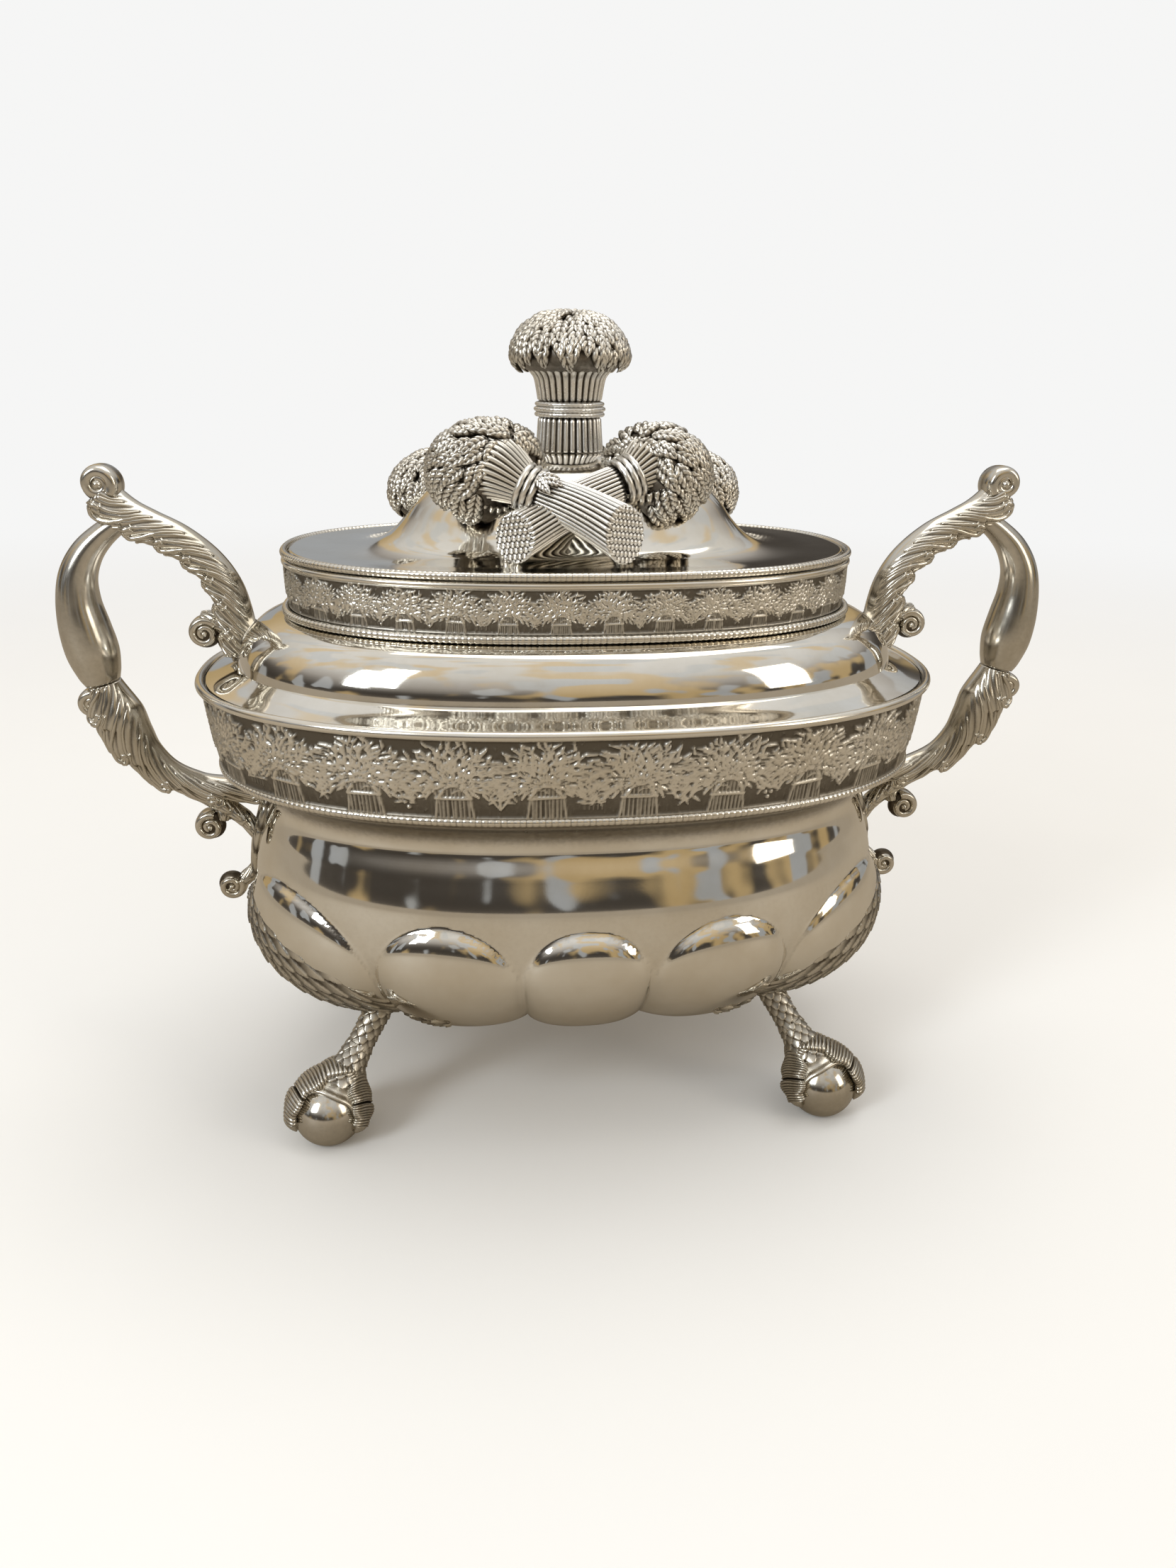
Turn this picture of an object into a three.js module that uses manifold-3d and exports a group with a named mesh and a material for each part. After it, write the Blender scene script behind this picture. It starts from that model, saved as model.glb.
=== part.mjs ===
// Silver covered sugar bowl on four claw-and-ball feet, with two scroll handles and a
// lift-off domed lid.  Millimetres, +Z up, origin on the table under the middle of the bowl,
// +X along the handles, -Y towards the front.
import * as THREE from "three";
import Module from "manifold-3d";
import { mergeVertices } from "three/addons/utils/BufferGeometryUtils.js";

// ---------------------------------------------------------------- driving dimensions
const GAP = 0.3;                 // clearance kept between soldered pieces
const SHEET = 1.6;               // wall thickness of the raised sheet
const LID_SHEET = 1.4;
const STUD_HOLE = 2.2;           // radius of the hole for the finial's stud
const WIRE_RADIUS = { bead: 1.1, flange: 1.2, upperBead: 1.0, lip: 0.9, lid: 1.0 };
const PLAN_POWER = 2.3;          // how square the oval plan is (2 = ellipse)
const FLANGE_Z = 121.5;          // height of the wide flange edge above the table
const LIP_Z = 153.1;             // top of the bowl's lip wire
const BALL_RADIUS = 9.5;
const BALL_CENTRE_Z = 9.0;       // a little less than the radius, so each ball has a flat
const FOOT_X = 69;
const FOOT_Y = 44;
const DOME_TOP_Z = 179.1;
const FINIAL_TOP_Z = 213.5;
const LOBE_DEPTH = 4.6;
const DEG = Math.PI / 180;

const SILVER = 0xc9c3b4;
const SILVER_DARK = 0xa39c8c;

// Outer wall of the bowl from under the flange down to the middle of its floor:
// half length, half width, height.
const BOWL_WALL = [
  [96.9, 64.7, 120.2], [93.8, 61.6, 100.0], [92.8, 60.6, 96.6], [86.6, 55.0, 92.6],
  [84.3, 53.0, 87.4], [86.2, 55.3, 80.0], [88.6, 57.8, 71.0], [89.4, 58.6, 62.5],
  [89.0, 58.0, 54.0], [86.4, 55.4, 46.4], [80.2, 49.6, 39.6], [70.0, 41.8, 35.3],
  [54.0, 31.2, 32.8], [24.0, 13.5, 32.0],
];
const LOBES_FROM_ROW = 5;        // the wall above this row is plain
const LOBE_FOOT_Z = 31.5;        // the lobes fade out over this height and the fade above it
const LOBE_FOOT_FADE = 7;
const SHOULDER_TOP = [
  [97.6, 65.6, 122.1], [89.2, 57.2, 125.4], [88.4, 56.5, 128.4], [86.8, 55.3, 132.2],
  [83.4, 53.1, 135.6], [79.6, 50.6, 137.4], [75.6, 48.0, 138.3],
];
const DOME_TOP = [
  [74.0, 47.0, 155.0], [62.0, 38.0, 154.8], [53.0, 32.6, 155.9], [47.8, 30.0, 158.4],
  [43.8, 27.8, 162.4], [40.2, 25.8, 167.4], [35.4, 23.0, 171.9], [27.4, 19.0, 175.8],
  [16.0, 13.0, 178.4], [9.0, 9.0, DOME_TOP_Z],
];
// Round-headed lobes beaten into the lower wall, one quarter of them: start and end angle,
// height of the rounded head, drop of the arch from that head.
const CORNER_END = 55.5;         // angle where a corner lobe meets a side lobe
const SIDE_END = 81.4;           // angle where a side lobe meets the front or back lobe
const LOBES = [
  { from: SIDE_END, to: 180 - SIDE_END, head: 66.5, arch: 17 },
  { from: CORNER_END, to: SIDE_END, head: 67.5, arch: 17 },
  { from: 0.0, to: CORNER_END, head: 71.0, arch: 24 },
];
const LOBE_STEPS = { front: 4, side: 4, corner: 5 };

// ---------------------------------------------------------------- small geometry kit
const wasm = await Module();
wasm.setup();

function meshFrom(positions, indices) {
  const geometry = new THREE.BufferGeometry();
  geometry.setAttribute("position", new THREE.Float32BufferAttribute(positions, 3));
  geometry.setIndex(indices);
  if (signedVolume(positions, indices) < 0) {
    const flipped = [];
    for (let i = 0; i < indices.length; i += 3) {
      flipped.push(indices[i], indices[i + 2], indices[i + 1]);
    }
    geometry.setIndex(flipped);
  }
  return geometry;
}

function signedVolume(p, index) {
  let volume = 0;
  for (let i = 0; i < index.length; i += 3) {
    const [a, b, c] = [index[i] * 3, index[i + 1] * 3, index[i + 2] * 3];
    volume += p[a] * (p[b + 1] * p[c + 2] - p[b + 2] * p[c + 1]);
    volume += p[a + 1] * (p[b + 2] * p[c] - p[b] * p[c + 2]);
    volume += p[a + 2] * (p[b] * p[c + 1] - p[b + 1] * p[c]);
  }
  return volume / 6;
}

function toManifold(geometry) {
  const bare = geometry.clone();
  bare.deleteAttribute("normal");
  bare.deleteAttribute("uv");
  const welded = mergeVertices(bare, 1e-4);
  const mesh = new wasm.Mesh({
    numProp: 3,
    vertProperties: new Float32Array(welded.attributes.position.array),
    triVerts: new Uint32Array(welded.index.array),
  });
  return new wasm.Manifold(mesh);
}

function fromManifold(solid) {
  const mesh = solid.getMesh();
  return meshFrom(Array.from(mesh.vertProperties), Array.from(mesh.triVerts));
}

function carve(geometry, ...cutters) {
  let solid = toManifold(geometry);
  for (const cutter of cutters) {
    solid = solid.subtract(toManifold(cutter));
  }
  return fromManifold(solid);
}

function joined(...geometries) {
  let solid = toManifold(geometries[0]);
  for (const other of geometries.slice(1)) {
    solid = solid.add(toManifold(other));
  }
  return fromManifold(solid);
}

// Skin a stack of rings.  A looped stack closes on itself, an open one is capped.
function loft(rings, looped) {
  const count = rings[0].length;
  const positions = [];
  const indices = [];
  rings.forEach((ring) => ring.forEach((point) => positions.push(...point)));
  const bands = looped ? rings.length : rings.length - 1;
  for (let band = 0; band < bands; band += 1) {
    const lower = band * count;
    const upper = ((band + 1) % rings.length) * count;
    for (let i = 0; i < count; i += 1) {
      const next = (i + 1) % count;
      indices.push(lower + i, lower + next, upper + next);
      indices.push(lower + i, upper + next, upper + i);
    }
  }
  if (!looped) {
    [0, rings.length - 1].forEach((which) => {
      const ring = rings[which];
      const centre = [0, 1, 2].map((axis) => ring.reduce((sum, p) => sum + p[axis], 0) / count);
      const hub = positions.length / 3;
      positions.push(...centre);
      for (let i = 0; i < count; i += 1) {
        const here = which * count + i;
        const next = which * count + ((i + 1) % count);
        indices.push(...(which === 0 ? [hub, next, here] : [hub, here, next]));
      }
    });
  }
  return meshFrom(positions, indices);
}

function ovalPoint(halfLength, halfWidth, z, angle, power) {
  const c = Math.cos(angle);
  const s = Math.sin(angle);
  const x = halfLength * Math.sign(c) * Math.abs(c) ** (2 / power);
  const y = halfWidth * Math.sign(s) * Math.abs(s) ** (2 / power);
  return [x, y, z];
}

const evenAngles = (count) => Array.from({ length: count }, (_, i) => (i * 2 * Math.PI) / count);
const OVAL_ANGLES = evenAngles(36);

function ovalRing([halfLength, halfWidth, z], power = PLAN_POWER) {
  return OVAL_ANGLES.map((angle) => ovalPoint(halfLength, halfWidth, z, angle, power));
}

// A closed band whose section is a list of [half length, half width, height].
const ovalBand = (section) => loft(section.map((entry) => ovalRing(entry)), true);
const ovalBlock = (section) => loft(section.map((entry) => ovalRing(entry)), false);

function ovalWire(halfLength, halfWidth, z, radius, sides = 5) {
  const section = evenAngles(sides).map((angle) => {
    const out = radius * Math.cos(angle);
    return [halfLength + out, halfWidth + out, z + radius * Math.sin(angle)];
  });
  return ovalBand(section);
}

function turned(profile, segments = 18) {
  const geometry = new THREE.LatheGeometry(
    profile.map(([radius, z]) => new THREE.Vector2(radius, z)), segments);
  geometry.rotateX(Math.PI / 2);
  geometry.deleteAttribute("normal");
  geometry.deleteAttribute("uv");
  const welded = mergeVertices(geometry, 1e-4);
  return meshFrom(Array.from(welded.attributes.position.array), withoutSlivers(welded));
}

function withoutSlivers(geometry) {
  const index = geometry.index.array;
  const kept = [];
  for (let i = 0; i < index.length; i += 3) {
    const [a, b, c] = [index[i], index[i + 1], index[i + 2]];
    if (a !== b && b !== c && c !== a) {
      kept.push(a, b, c);
    }
  }
  return kept;
}

// A round bar along a smooth curve; stations are [x, y, z, in-plane radius, sideways radius].
function bar(stations, sides = 8, steps = 9) {
  const curve = new THREE.CatmullRomCurve3(
    stations.map(([x, y, z]) => new THREE.Vector3(x, y, z)), false, "centripetal");
  const rings = [];
  const side = new THREE.Vector3();
  for (let i = 0; i <= steps; i += 1) {
    const u = i / steps;
    const at = curve.getPoint(u);
    const tangent = curve.getTangent(u);
    const place = u * (stations.length - 1);
    const low = Math.min(Math.floor(place), stations.length - 2);
    const mix = place - low;
    const radius = (k) => stations[low][k] * (1 - mix) + stations[low + 1][k] * mix;
    side.set(0, 1, 0);
    side.addScaledVector(tangent, -side.dot(tangent)).normalize();
    const up = new THREE.Vector3().crossVectors(side, tangent);
    rings.push(evenAngles(sides).map((angle) => {
      const point = at.clone();
      point.addScaledVector(up, radius(3) * Math.cos(angle));
      point.addScaledVector(side, radius(4) * Math.sin(angle));
      return [point.x, point.y, point.z];
    }));
  }
  return loft(rings, false);
}

function ball(x, y, z, rx, ry, rz, around = 16, rows = 10) {
  const profile = [];
  for (let i = 0; i <= rows; i += 1) {
    const angle = -Math.PI / 2 + (i * Math.PI) / rows;
    profile.push([i === 0 || i === rows ? 0 : Math.cos(angle), Math.sin(angle)]);
  }
  return turned(profile, around).scale(rx, ry, rz).translate(x, y, z);
}

function block(x0, y0, z0, x1, y1, z1) {
  const geometry = new THREE.BoxGeometry(x1 - x0, y1 - y0, z1 - z0);
  return geometry.translate((x0 + x1) / 2, (y0 + y1) / 2, (z0 + z1) / 2);
}

// A disc standing in the plane of the handles, for the rolled ends of the scrolls.
function scrollDisc(x, z, radius, halfWidth, sides = 14) {
  const profile = [
    [0, -halfWidth], [radius * 0.72, -halfWidth], [radius, -halfWidth * 0.55],
    [radius, halfWidth * 0.55], [radius * 0.72, halfWidth], [0, halfWidth],
  ];
  return turned(profile, sides).rotateX(-Math.PI / 2).translate(x, 0, z);
}

// ---------------------------------------------------------------- the lobed bowl
function lobeAngles() {
  const quarter = [];
  const span = (from, to, steps) => {
    for (let i = 0; i < steps; i += 1) {
      quarter.push(from + ((to - from) * i) / steps);
    }
  };
  span(0, CORNER_END, LOBE_STEPS.corner);
  span(CORNER_END, SIDE_END, LOBE_STEPS.side);
  span(SIDE_END, 180 - SIDE_END, LOBE_STEPS.front);
  span(180 - SIDE_END, 180 - CORNER_END, LOBE_STEPS.side);
  span(180 - CORNER_END, 180, LOBE_STEPS.corner);
  return [...quarter, ...quarter.map((angle) => angle + 180)].map((angle) => angle * DEG);
}
const BOWL_ANGLES = lobeAngles();

function foldedDegrees(angle) {
  let degrees = ((angle / DEG) % 360 + 360) % 360;
  if (degrees > 180) {
    degrees = 360 - degrees;
  }
  return degrees > 180 - SIDE_END ? 180 - degrees : degrees;
}

// How far the wall is beaten out at an angle and height: each lobe is half a rounded arch
// above and a plain swelling below, fading out on the floor.
function lobeSwell(angle, z) {
  const degrees = foldedDegrees(angle);
  const lobe = LOBES.find((entry) => degrees >= entry.from - 1e-6 && degrees <= entry.to + 1e-6);
  const across = (2 * degrees - lobe.from - lobe.to) / (lobe.to - lobe.from);
  const above = Math.max(0, z - (lobe.head - lobe.arch)) / lobe.arch;
  const reach = Math.min(1, across * across + above * above);
  const fade = Math.min(1, Math.max(0, (z - LOBE_FOOT_Z) / LOBE_FOOT_FADE));
  return LOBE_DEPTH * Math.sqrt(1 - reach) * (0.25 + 0.75 * fade);
}

// Outward direction of the bowl's section at one row of its wall table.
function wallSlope(row) {
  const before = BOWL_WALL[Math.max(0, row - 1)];
  const after = BOWL_WALL[Math.min(BOWL_WALL.length - 1, row + 1)];
  const out = before[2] - after[2];
  const down = after[0] - before[0];
  const length = Math.hypot(out, down);
  return [out / length, down / length];
}

function bowlPoint(row, angle, offset, lobed = true) {
  const [halfLength, halfWidth, z] = BOWL_WALL[row];
  const [out, up] = wallSlope(row);
  const push = offset + (lobed && row >= LOBES_FROM_ROW ? lobeSwell(angle, z) : 0);
  const [x, y] = ovalPoint(halfLength, halfWidth, z, angle, PLAN_POWER);
  const normal = new THREE.Vector2(
    Math.sign(x) * (Math.abs(x) / halfLength) ** (PLAN_POWER - 1) / halfLength,
    Math.sign(y) * (Math.abs(y) / halfWidth) ** (PLAN_POWER - 1) / halfWidth).normalize();
  return [x + normal.x * out * push, y + normal.y * out * push, z + up * push];
}

const INNER_ROWS = [0, 1, 2, 3, 4, 6, 8, 9, 10, 12];
const bowlRing = (row, offset) => BOWL_ANGLES.map((angle) => bowlPoint(row, angle, offset));

function bowlBody() {
  const outer = BOWL_WALL.map((_, row) => bowlRing(row, 0));
  const inner = INNER_ROWS.map((row) => bowlRing(row, -SHEET));
  inner[0] = inner[0].map(([x, y]) => [x, y, BOWL_WALL[0][2]]);
  return loftThroughFloor(outer, inner);
}

// Outer skin down to the floor, inner skin back up, joined at the lip.
function loftThroughFloor(outer, inner) {
  const floorRing = (ring) => {
    const z = ring.reduce((sum, p) => sum + p[2], 0) / ring.length;
    return ring.map(([x, y]) => [x * 0.02, y * 0.02, z]);
  };
  const rings = [
    floorRing(inner.at(-1)), ...[...inner].reverse(), ...outer, floorRing(outer.at(-1))];
  return loft(rings, false);
}

function bowlBlock(offset) {
  const rings = BOWL_WALL.map((_, row) => bowlRing(row, offset));
  return loft(rings, false);
}

// A leaf-shaped skin laid on the bowl's wall.  The spine runs over (angle, row) stations.
function wallLeaf(spine, halfRows, low, high, steps = 4) {
  const grid = (offset) => {
    const lines = [];
    for (let i = 0; i <= steps; i += 1) {
      const u = i / steps;
      const angle = (spine.from + (spine.to - spine.from) * u) * DEG;
      const middle = spine.rowFrom + (spine.rowTo - spine.rowFrom) * u;
      const half = halfRows(u);
      lines.push([-1, 0, 1].map((v) => bowlBetween(middle + v * half, angle, offset)));
    }
    return lines;
  };
  const top = grid(high);
  const bottom = grid(low);
  const rings = top.map((line, i) => [...line, ...[...bottom[i]].reverse()]);
  return loft(rings, false);
}

function bowlBetween(row, angle, offset) {
  const low = Math.min(Math.max(Math.floor(row), 0), BOWL_WALL.length - 2);
  const mix = row - low;
  const a = bowlPoint(low, angle, offset);
  const b = bowlPoint(low + 1, angle, offset);
  return a.map((value, axis) => value * (1 - mix) + b[axis] * mix);
}

// ---------------------------------------------------------------- assembly
const group = new THREE.Group();
group.name = "covered_sugar_bowl";

function add(name, geometry, colour = SILVER) {
  const bare = geometry.clone();
  bare.deleteAttribute("uv");
  bare.computeVertexNormals();
  const material = new THREE.MeshStandardMaterial({ color: colour, metalness: 1, roughness: 0.3 });
  const mesh = new THREE.Mesh(bare, material);
  mesh.name = name;
  group.add(mesh);
}

add("bowl_body", bowlBody());

add("lower_band", ovalBand([
  [99.2, 67.2, 119.6], [98.6, 66.5, 113.5], [97.4, 65.2, 107.0], [96.1, 63.9, 100.6],
  [94.2, 62.0, 100.6], [97.2, 65.0, 119.6],
]), SILVER_DARK);
add("lower_band_bead", ovalWire(95.3, 63.1, 99.0, WIRE_RADIUS.bead));
add("flange_rim_wire", ovalWire(99.2, 67.2, FLANGE_Z, WIRE_RADIUS.flange));

const shoulderUnder = [
  [75.6, 48.0, 136.7], [82.2, 52.2, 134.3], [85.6, 54.4, 130.4], [87.0, 55.2, 126.6],
  [87.8, 55.9, 124.2], [97.6, 65.6, 120.6],
];
add("shoulder", ovalBand([...SHOULDER_TOP, ...shoulderUnder]));

add("upper_band_bead", ovalWire(75.8, 48.3, 139.8, WIRE_RADIUS.upperBead));
add("upper_band", ovalBand([
  [75.9, 48.9, 151.0], [75.1, 48.0, 141.2], [73.3, 46.2, 141.2], [74.1, 47.1, 151.0],
]), SILVER_DARK);
add("upper_band_lip_wire", ovalWire(75.3, 48.2, LIP_Z - WIRE_RADIUS.lip, WIRE_RADIUS.lip));

// Lid: brim and dome in one sheet, wired edge, and a bezel that drops inside the lip.
function lidCover() {
  const hole = STUD_HOLE;
  const sheet = LID_SHEET;
  const crown = DOME_TOP.at(-1)[0];
  const squaring = (halfLength) => Math.min(1, Math.max(0, (halfLength - crown) / 30));
  const powerAt = (halfLength) => 2 + (PLAN_POWER - 2) * squaring(halfLength);
  const ring = ([a, b, z]) => OVAL_ANGLES.map((angle) => ovalPoint(a, b, z, angle, powerAt(a)));
  const top = [...DOME_TOP, [hole, hole, DOME_TOP_Z]].map(ring);
  const under = DOME_TOP.map(([a, b, z], i) => {
    const before = DOME_TOP[Math.max(0, i - 1)];
    const after = DOME_TOP[Math.min(DOME_TOP.length - 1, i + 1)];
    const length = Math.hypot(after[2] - before[2], before[0] - after[0]);
    const inward = (sheet * (after[2] - before[2])) / length;
    const down = (sheet * (before[0] - after[0])) / length;
    return i === 0 ? [a, b, z - sheet] : [a - inward, b - inward, z - down];
  });
  under.push([hole, hole, DOME_TOP_Z - sheet]);
  const kept = under.filter((_, i) => ![1, 4, 6].includes(i));
  return loft([...top, ...kept.map(ring).reverse()], true);
}
add("lid_cover", lidCover());
add("lid_rim_wire", ovalWire(75.4, 48.4, LIP_Z + GAP + WIRE_RADIUS.lid, WIRE_RADIUS.lid));
add("lid_bezel", ovalBand([
  [72.3, 45.3, 153.2], [72.3, 45.3, 147.0], [70.9, 43.9, 147.0], [70.9, 43.9, 153.2],
]));

// Finial: an upright wheat sheaf screwed down through the crown of the dome.
add("finial_stalks", turned([
  [2.2, DOME_TOP_Z + GAP], [8.3, DOME_TOP_Z + GAP], [7.9, 187.4], [7.2, 188.0], [7.2, 191.6],
  [8.2, 192.2], [8.9, 195.4], [10.4, 198.4], [0, 198.4], [0, 184.6], [2.2, 184.6],
  [2.2, DOME_TOP_Z + GAP],
]), SILVER_DARK);
add("finial_tie", turned([
  [7.5, 187.9], [8.5, 187.9], [9.0, 188.5], [8.6, 189.1], [9.0, 189.8], [8.6, 190.5],
  [9.0, 191.1], [8.5, 191.7], [7.5, 191.7], [7.5, 187.9],
]));
add("finial_ears", turned([
  [0, 198.7], [11.2, 198.7], [14.0, 199.4], [15.4, 202.2], [14.9, 205.6], [12.6, 209.2],
  [8.4, 212.2], [3.6, 213.3], [0, FINIAL_TOP_Z],
]), SILVER_DARK);
add("finial_stud", turned([[0, 171.5], [1.9, 171.5], [1.9, 184.3], [0, 184.3]], 12));
add("finial_nut", turned([
  [2.2, 173.6], [4.8, 173.6], [4.8, 176.6], [2.2, 176.6], [2.2, 173.6],
], 6));

// Four lying wheat sheaves, crossed in pairs in front of and behind the finial.
const STALKS_BUTT_RADIUS = 7.0;
const STALKS_TIE_RADIUS = 5.2;
const CORD_SHARE = 0.1;          // the cords reach this share of butt to tie to either side
const CORD_GAP_SHARE = 0.012;
const domeClearance = ovalBlock(
  [[80, 53, 150], [80, 53, 155.3], ...DOME_TOP.slice(1).map(([a, b, z]) => [a + GAP, b + GAP, z + GAP]),
    [0.5, 0.5, DOME_TOP_Z + GAP]]);
const finialClearance = turned([
  [0, 178], [8.7, 178], [9.5, 187], [9.5, 192.5], [11.5, 200], [0, 200],
]);

const SHEAVES = [
  {
    name: "front_left_sheaf", butt: [10.0, -38.2, 162.6], tie: [-12.2, -30.0, 172.6],
    neck: [-19.5, -25.0, 176.5], head: [-22.0, -21.0, 175.5], size: [16.2, 12.0, 13.4],
  },
  {
    name: "front_right_sheaf", butt: [-16.4, -34.2, 161.4], tie: [12.0, -25.2, 174.4],
    neck: [17.5, -21.5, 177.0], head: [19.5, -19.5, 174.5], size: [15.4, 12.0, 13.4],
  },
  {
    name: "rear_right_sheaf", butt: [-10.0, 38.2, 162.6], tie: [12.2, 30.0, 172.6],
    neck: [26.0, 22.0, 172.0], head: [35.0, 16.0, 167.0], size: [15.0, 13.0, 11.8],
  },
  {
    name: "rear_left_sheaf", butt: [16.4, 34.2, 161.4], tie: [-12.0, 25.2, 174.4],
    neck: [-25.0, 21.0, 172.0], head: [-34.0, 16.0, 167.0], size: [15.0, 13.0, 11.8],
  },
];

function along(from, to, t) {
  return from.map((value, axis) => value + (to[axis] - value) * t);
}

function straightBar(from, to, radiusFrom, radiusTo, sides = 10) {
  const axis = new THREE.Vector3(...to).sub(new THREE.Vector3(...from));
  const length = axis.length();
  const geometry = new THREE.CylinderGeometry(radiusTo, radiusFrom, length, sides);
  geometry.translate(0, length / 2, 0);
  const turn = new THREE.Quaternion().setFromUnitVectors(
    new THREE.Vector3(0, 1, 0), axis.normalize());
  return geometry.applyQuaternion(turn).translate(...from);
}

function sheafParts({ butt, tie, neck, head, size }, extra) {
  const tieStart = 1 - CORD_SHARE;
  const tieEnd = 1 + CORD_SHARE;
  const stalksEnd = along(butt, tie, tieStart - CORD_GAP_SHARE);
  const neckStart = along(butt, tie, tieEnd + CORD_GAP_SHARE);
  const tieRadius = STALKS_TIE_RADIUS + extra;
  return {
    stalks: straightBar(butt, stalksEnd, STALKS_BUTT_RADIUS + extra, tieRadius),
    tie: straightBar(
      along(butt, tie, tieStart), along(butt, tie, tieEnd), tieRadius + 0.5, tieRadius + 0.4),
    ears: joined(
      ball(...head, size[0] + extra, size[1] + extra, size[2] + extra, 12, 7),
      straightBar(neckStart, neck, tieRadius, tieRadius + 2.3)),
  };
}

for (const pair of [SHEAVES.slice(0, 2), SHEAVES.slice(2)]) {
  const [over, under] = pair;
  const overSolids = sheafParts(over, 0);
  const overRoom = sheafParts(over, GAP);
  const underSolids = sheafParts(under, 0);
  const cuts = [domeClearance, finialClearance];
  const overTied = { ears: [...cuts, overRoom.tie, overRoom.stalks], tie: cuts, stalks: cuts };
  for (const part of ["stalks", "tie", "ears"]) {
    add(`${over.name}_${part}`, carve(overSolids[part], ...overTied[part]),
      part === "tie" ? SILVER : SILVER_DARK);
  }
  const underRoom = sheafParts(under, GAP);
  const underCuts = [...cuts, overRoom.stalks, overRoom.tie, overRoom.ears];
  add(`${under.name}_stalks`, carve(underSolids.stalks, ...underCuts), SILVER_DARK);
  add(`${under.name}_tie`, carve(underSolids.tie, ...underCuts), SILVER);
  add(`${under.name}_ears`, carve(underSolids.ears, ...underCuts, underRoom.tie, underRoom.stalks),
    SILVER_DARK);
}

// Handles, drawn once for +X and mirrored for -X.  Heights are above the table.
const bowlClearance = bowlBlock(GAP);
const shoulderClearance = ovalBlock([
  [98, 66, 119], ...SHOULDER_TOP.map(([a, b, z]) => [a + GAP, b + GAP, z + GAP])]);

const THUMB = { x: 120.8, z: 171.0, radius: 5.7, halfWidth: 4.4 };
const HANDLE_PARTS = {
  upper_limb: bar([
    [88.6, 0, 126.0, 4.4, 4.6], [90.0, 0, 137.6, 4.2, 4.6], [91.6, 0, 144.6, 4.2, 4.6],
    [95.6, 0, 151.2, 4.2, 4.6], [102.2, 0, 156.8, 4.2, 4.6], [109.6, 0, 160.4, 4.0, 4.6],
    [116.0, 0, 163.2, 3.6, 4.8],
  ]),
  thumb_scroll: scrollDisc(THUMB.x, THUMB.z, THUMB.radius, THUMB.halfWidth),
  grip: bar([
    [118.0, 0, 161.6, 2.6, 3.2], [122.0, 0, 157.4, 2.9, 3.6], [126.2, 0, 152.9, 3.5, 4.2],
    [129.2, 0, 147.0, 4.2, 5.0], [130.2, 0, 140.4, 5.1, 5.6], [129.7, 0, 133.4, 6.1, 6.2],
    [128.4, 0, 126.8, 6.2, 6.2], [127.0, 0, 121.0, 4.6, 5.0], [126.2, 0, 119.0, 4.2, 4.6],
  ]),
  lower_limb: bar([
    [126.0, 0, 117.6, 4.6, 5.0], [124.9, 0, 109.6, 6.2, 6.0], [122.2, 0, 103.2, 5.6, 5.6],
    [118.6, 0, 97.4, 4.8, 5.0], [113.0, 0, 92.2, 4.0, 4.6], [106.6, 0, 88.9, 3.4, 4.4],
    [99.0, 0, 87.2, 3.2, 4.4], [84.0, 0, 87.2, 3.2, 4.6],
  ]),
  upper_volute: joined(
    scrollDisc(98.0, 131.6, 4.1, 3.2), block(93.0, -2.4, 127.0, 97.0, 2.4, 131.0)),
  lower_volute: joined(
    scrollDisc(101.6, 76.4, 4.2, 3.2), block(101.0, -2.4, 78.0, 104.0, 2.4, 84.4)),
  shoulder_leaf: bar([
    [78.6, 0, 139.4, 0.9, 3.2], [84.3, 0, 137.0, 1.1, 6.2], [88.4, 0, 132.9, 1.1, 7.4],
    [90.4, 0, 128.4, 1.1, 7.4], [91.2, 0, 126.2, 1.0, 6.4],
  ], 6, 7),
  body_leaf: joined(
    bar([
      [87.6, 0, 82.8, 1.3, 5.4], [89.3, 0, 76.0, 1.4, 5.0], [90.8, 0, 69.0, 1.4, 4.4],
      [91.6, 0, 62.6, 1.5, 3.8], [94.4, 0, 58.4, 1.6, 3.4],
    ], 8, 8),
    scrollDisc(97.6, 57.8, 4.0, 3.0)),
};

const thumbRoom = scrollDisc(THUMB.x, THUMB.z, THUMB.radius + GAP, THUMB.halfWidth + GAP);
const thumbRise = [
  [112.0, 0, 161.4, 3.2, 3.8], [116.6, 0, 164.2, 3.2, 3.8], [118.6, 0, 169.0, 2.4, 3.4],
];
const upperLimbShaped = joined(
  carve(HANDLE_PARTS.upper_limb, shoulderClearance), bar(thumbRise, 8, 6));
HANDLE_PARTS.upper_limb = carve(upperLimbShaped, thumbRoom);
const limbRoom = bar([
  [88.6, 0, 122.0, 4.7, 4.9], [90.0, 0, 137.6, 4.5, 4.9], [91.6, 0, 144.6, 4.5, 4.9],
  [95.6, 0, 151.2, 4.5, 4.9], [102.2, 0, 156.8, 4.5, 4.9], [109.6, 0, 160.4, 4.3, 4.9],
  [116.6, 0, 163.6, 4.0, 5.2],
]);
const grown = (stations, extra) => stations.map(([x, y, z, r, s]) => [x, y, z, r + extra, s + extra]);
HANDLE_PARTS.grip = carve(
  HANDLE_PARTS.grip, limbRoom, bar(grown(thumbRise, GAP), 8, 6), thumbRoom);
HANDLE_PARTS.lower_limb = carve(HANDLE_PARTS.lower_limb, bowlClearance);
HANDLE_PARTS.upper_volute = carve(HANDLE_PARTS.upper_volute, limbRoom, shoulderClearance);
const lowerLimbRoom = bar([
  [118.6, 0, 97.4, 5.1, 5.3], [113.0, 0, 92.2, 4.3, 4.9], [106.6, 0, 88.9, 3.7, 4.7],
  [99.0, 0, 87.2, 3.5, 4.7], [84.0, 0, 87.2, 3.5, 4.9],
]);
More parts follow.
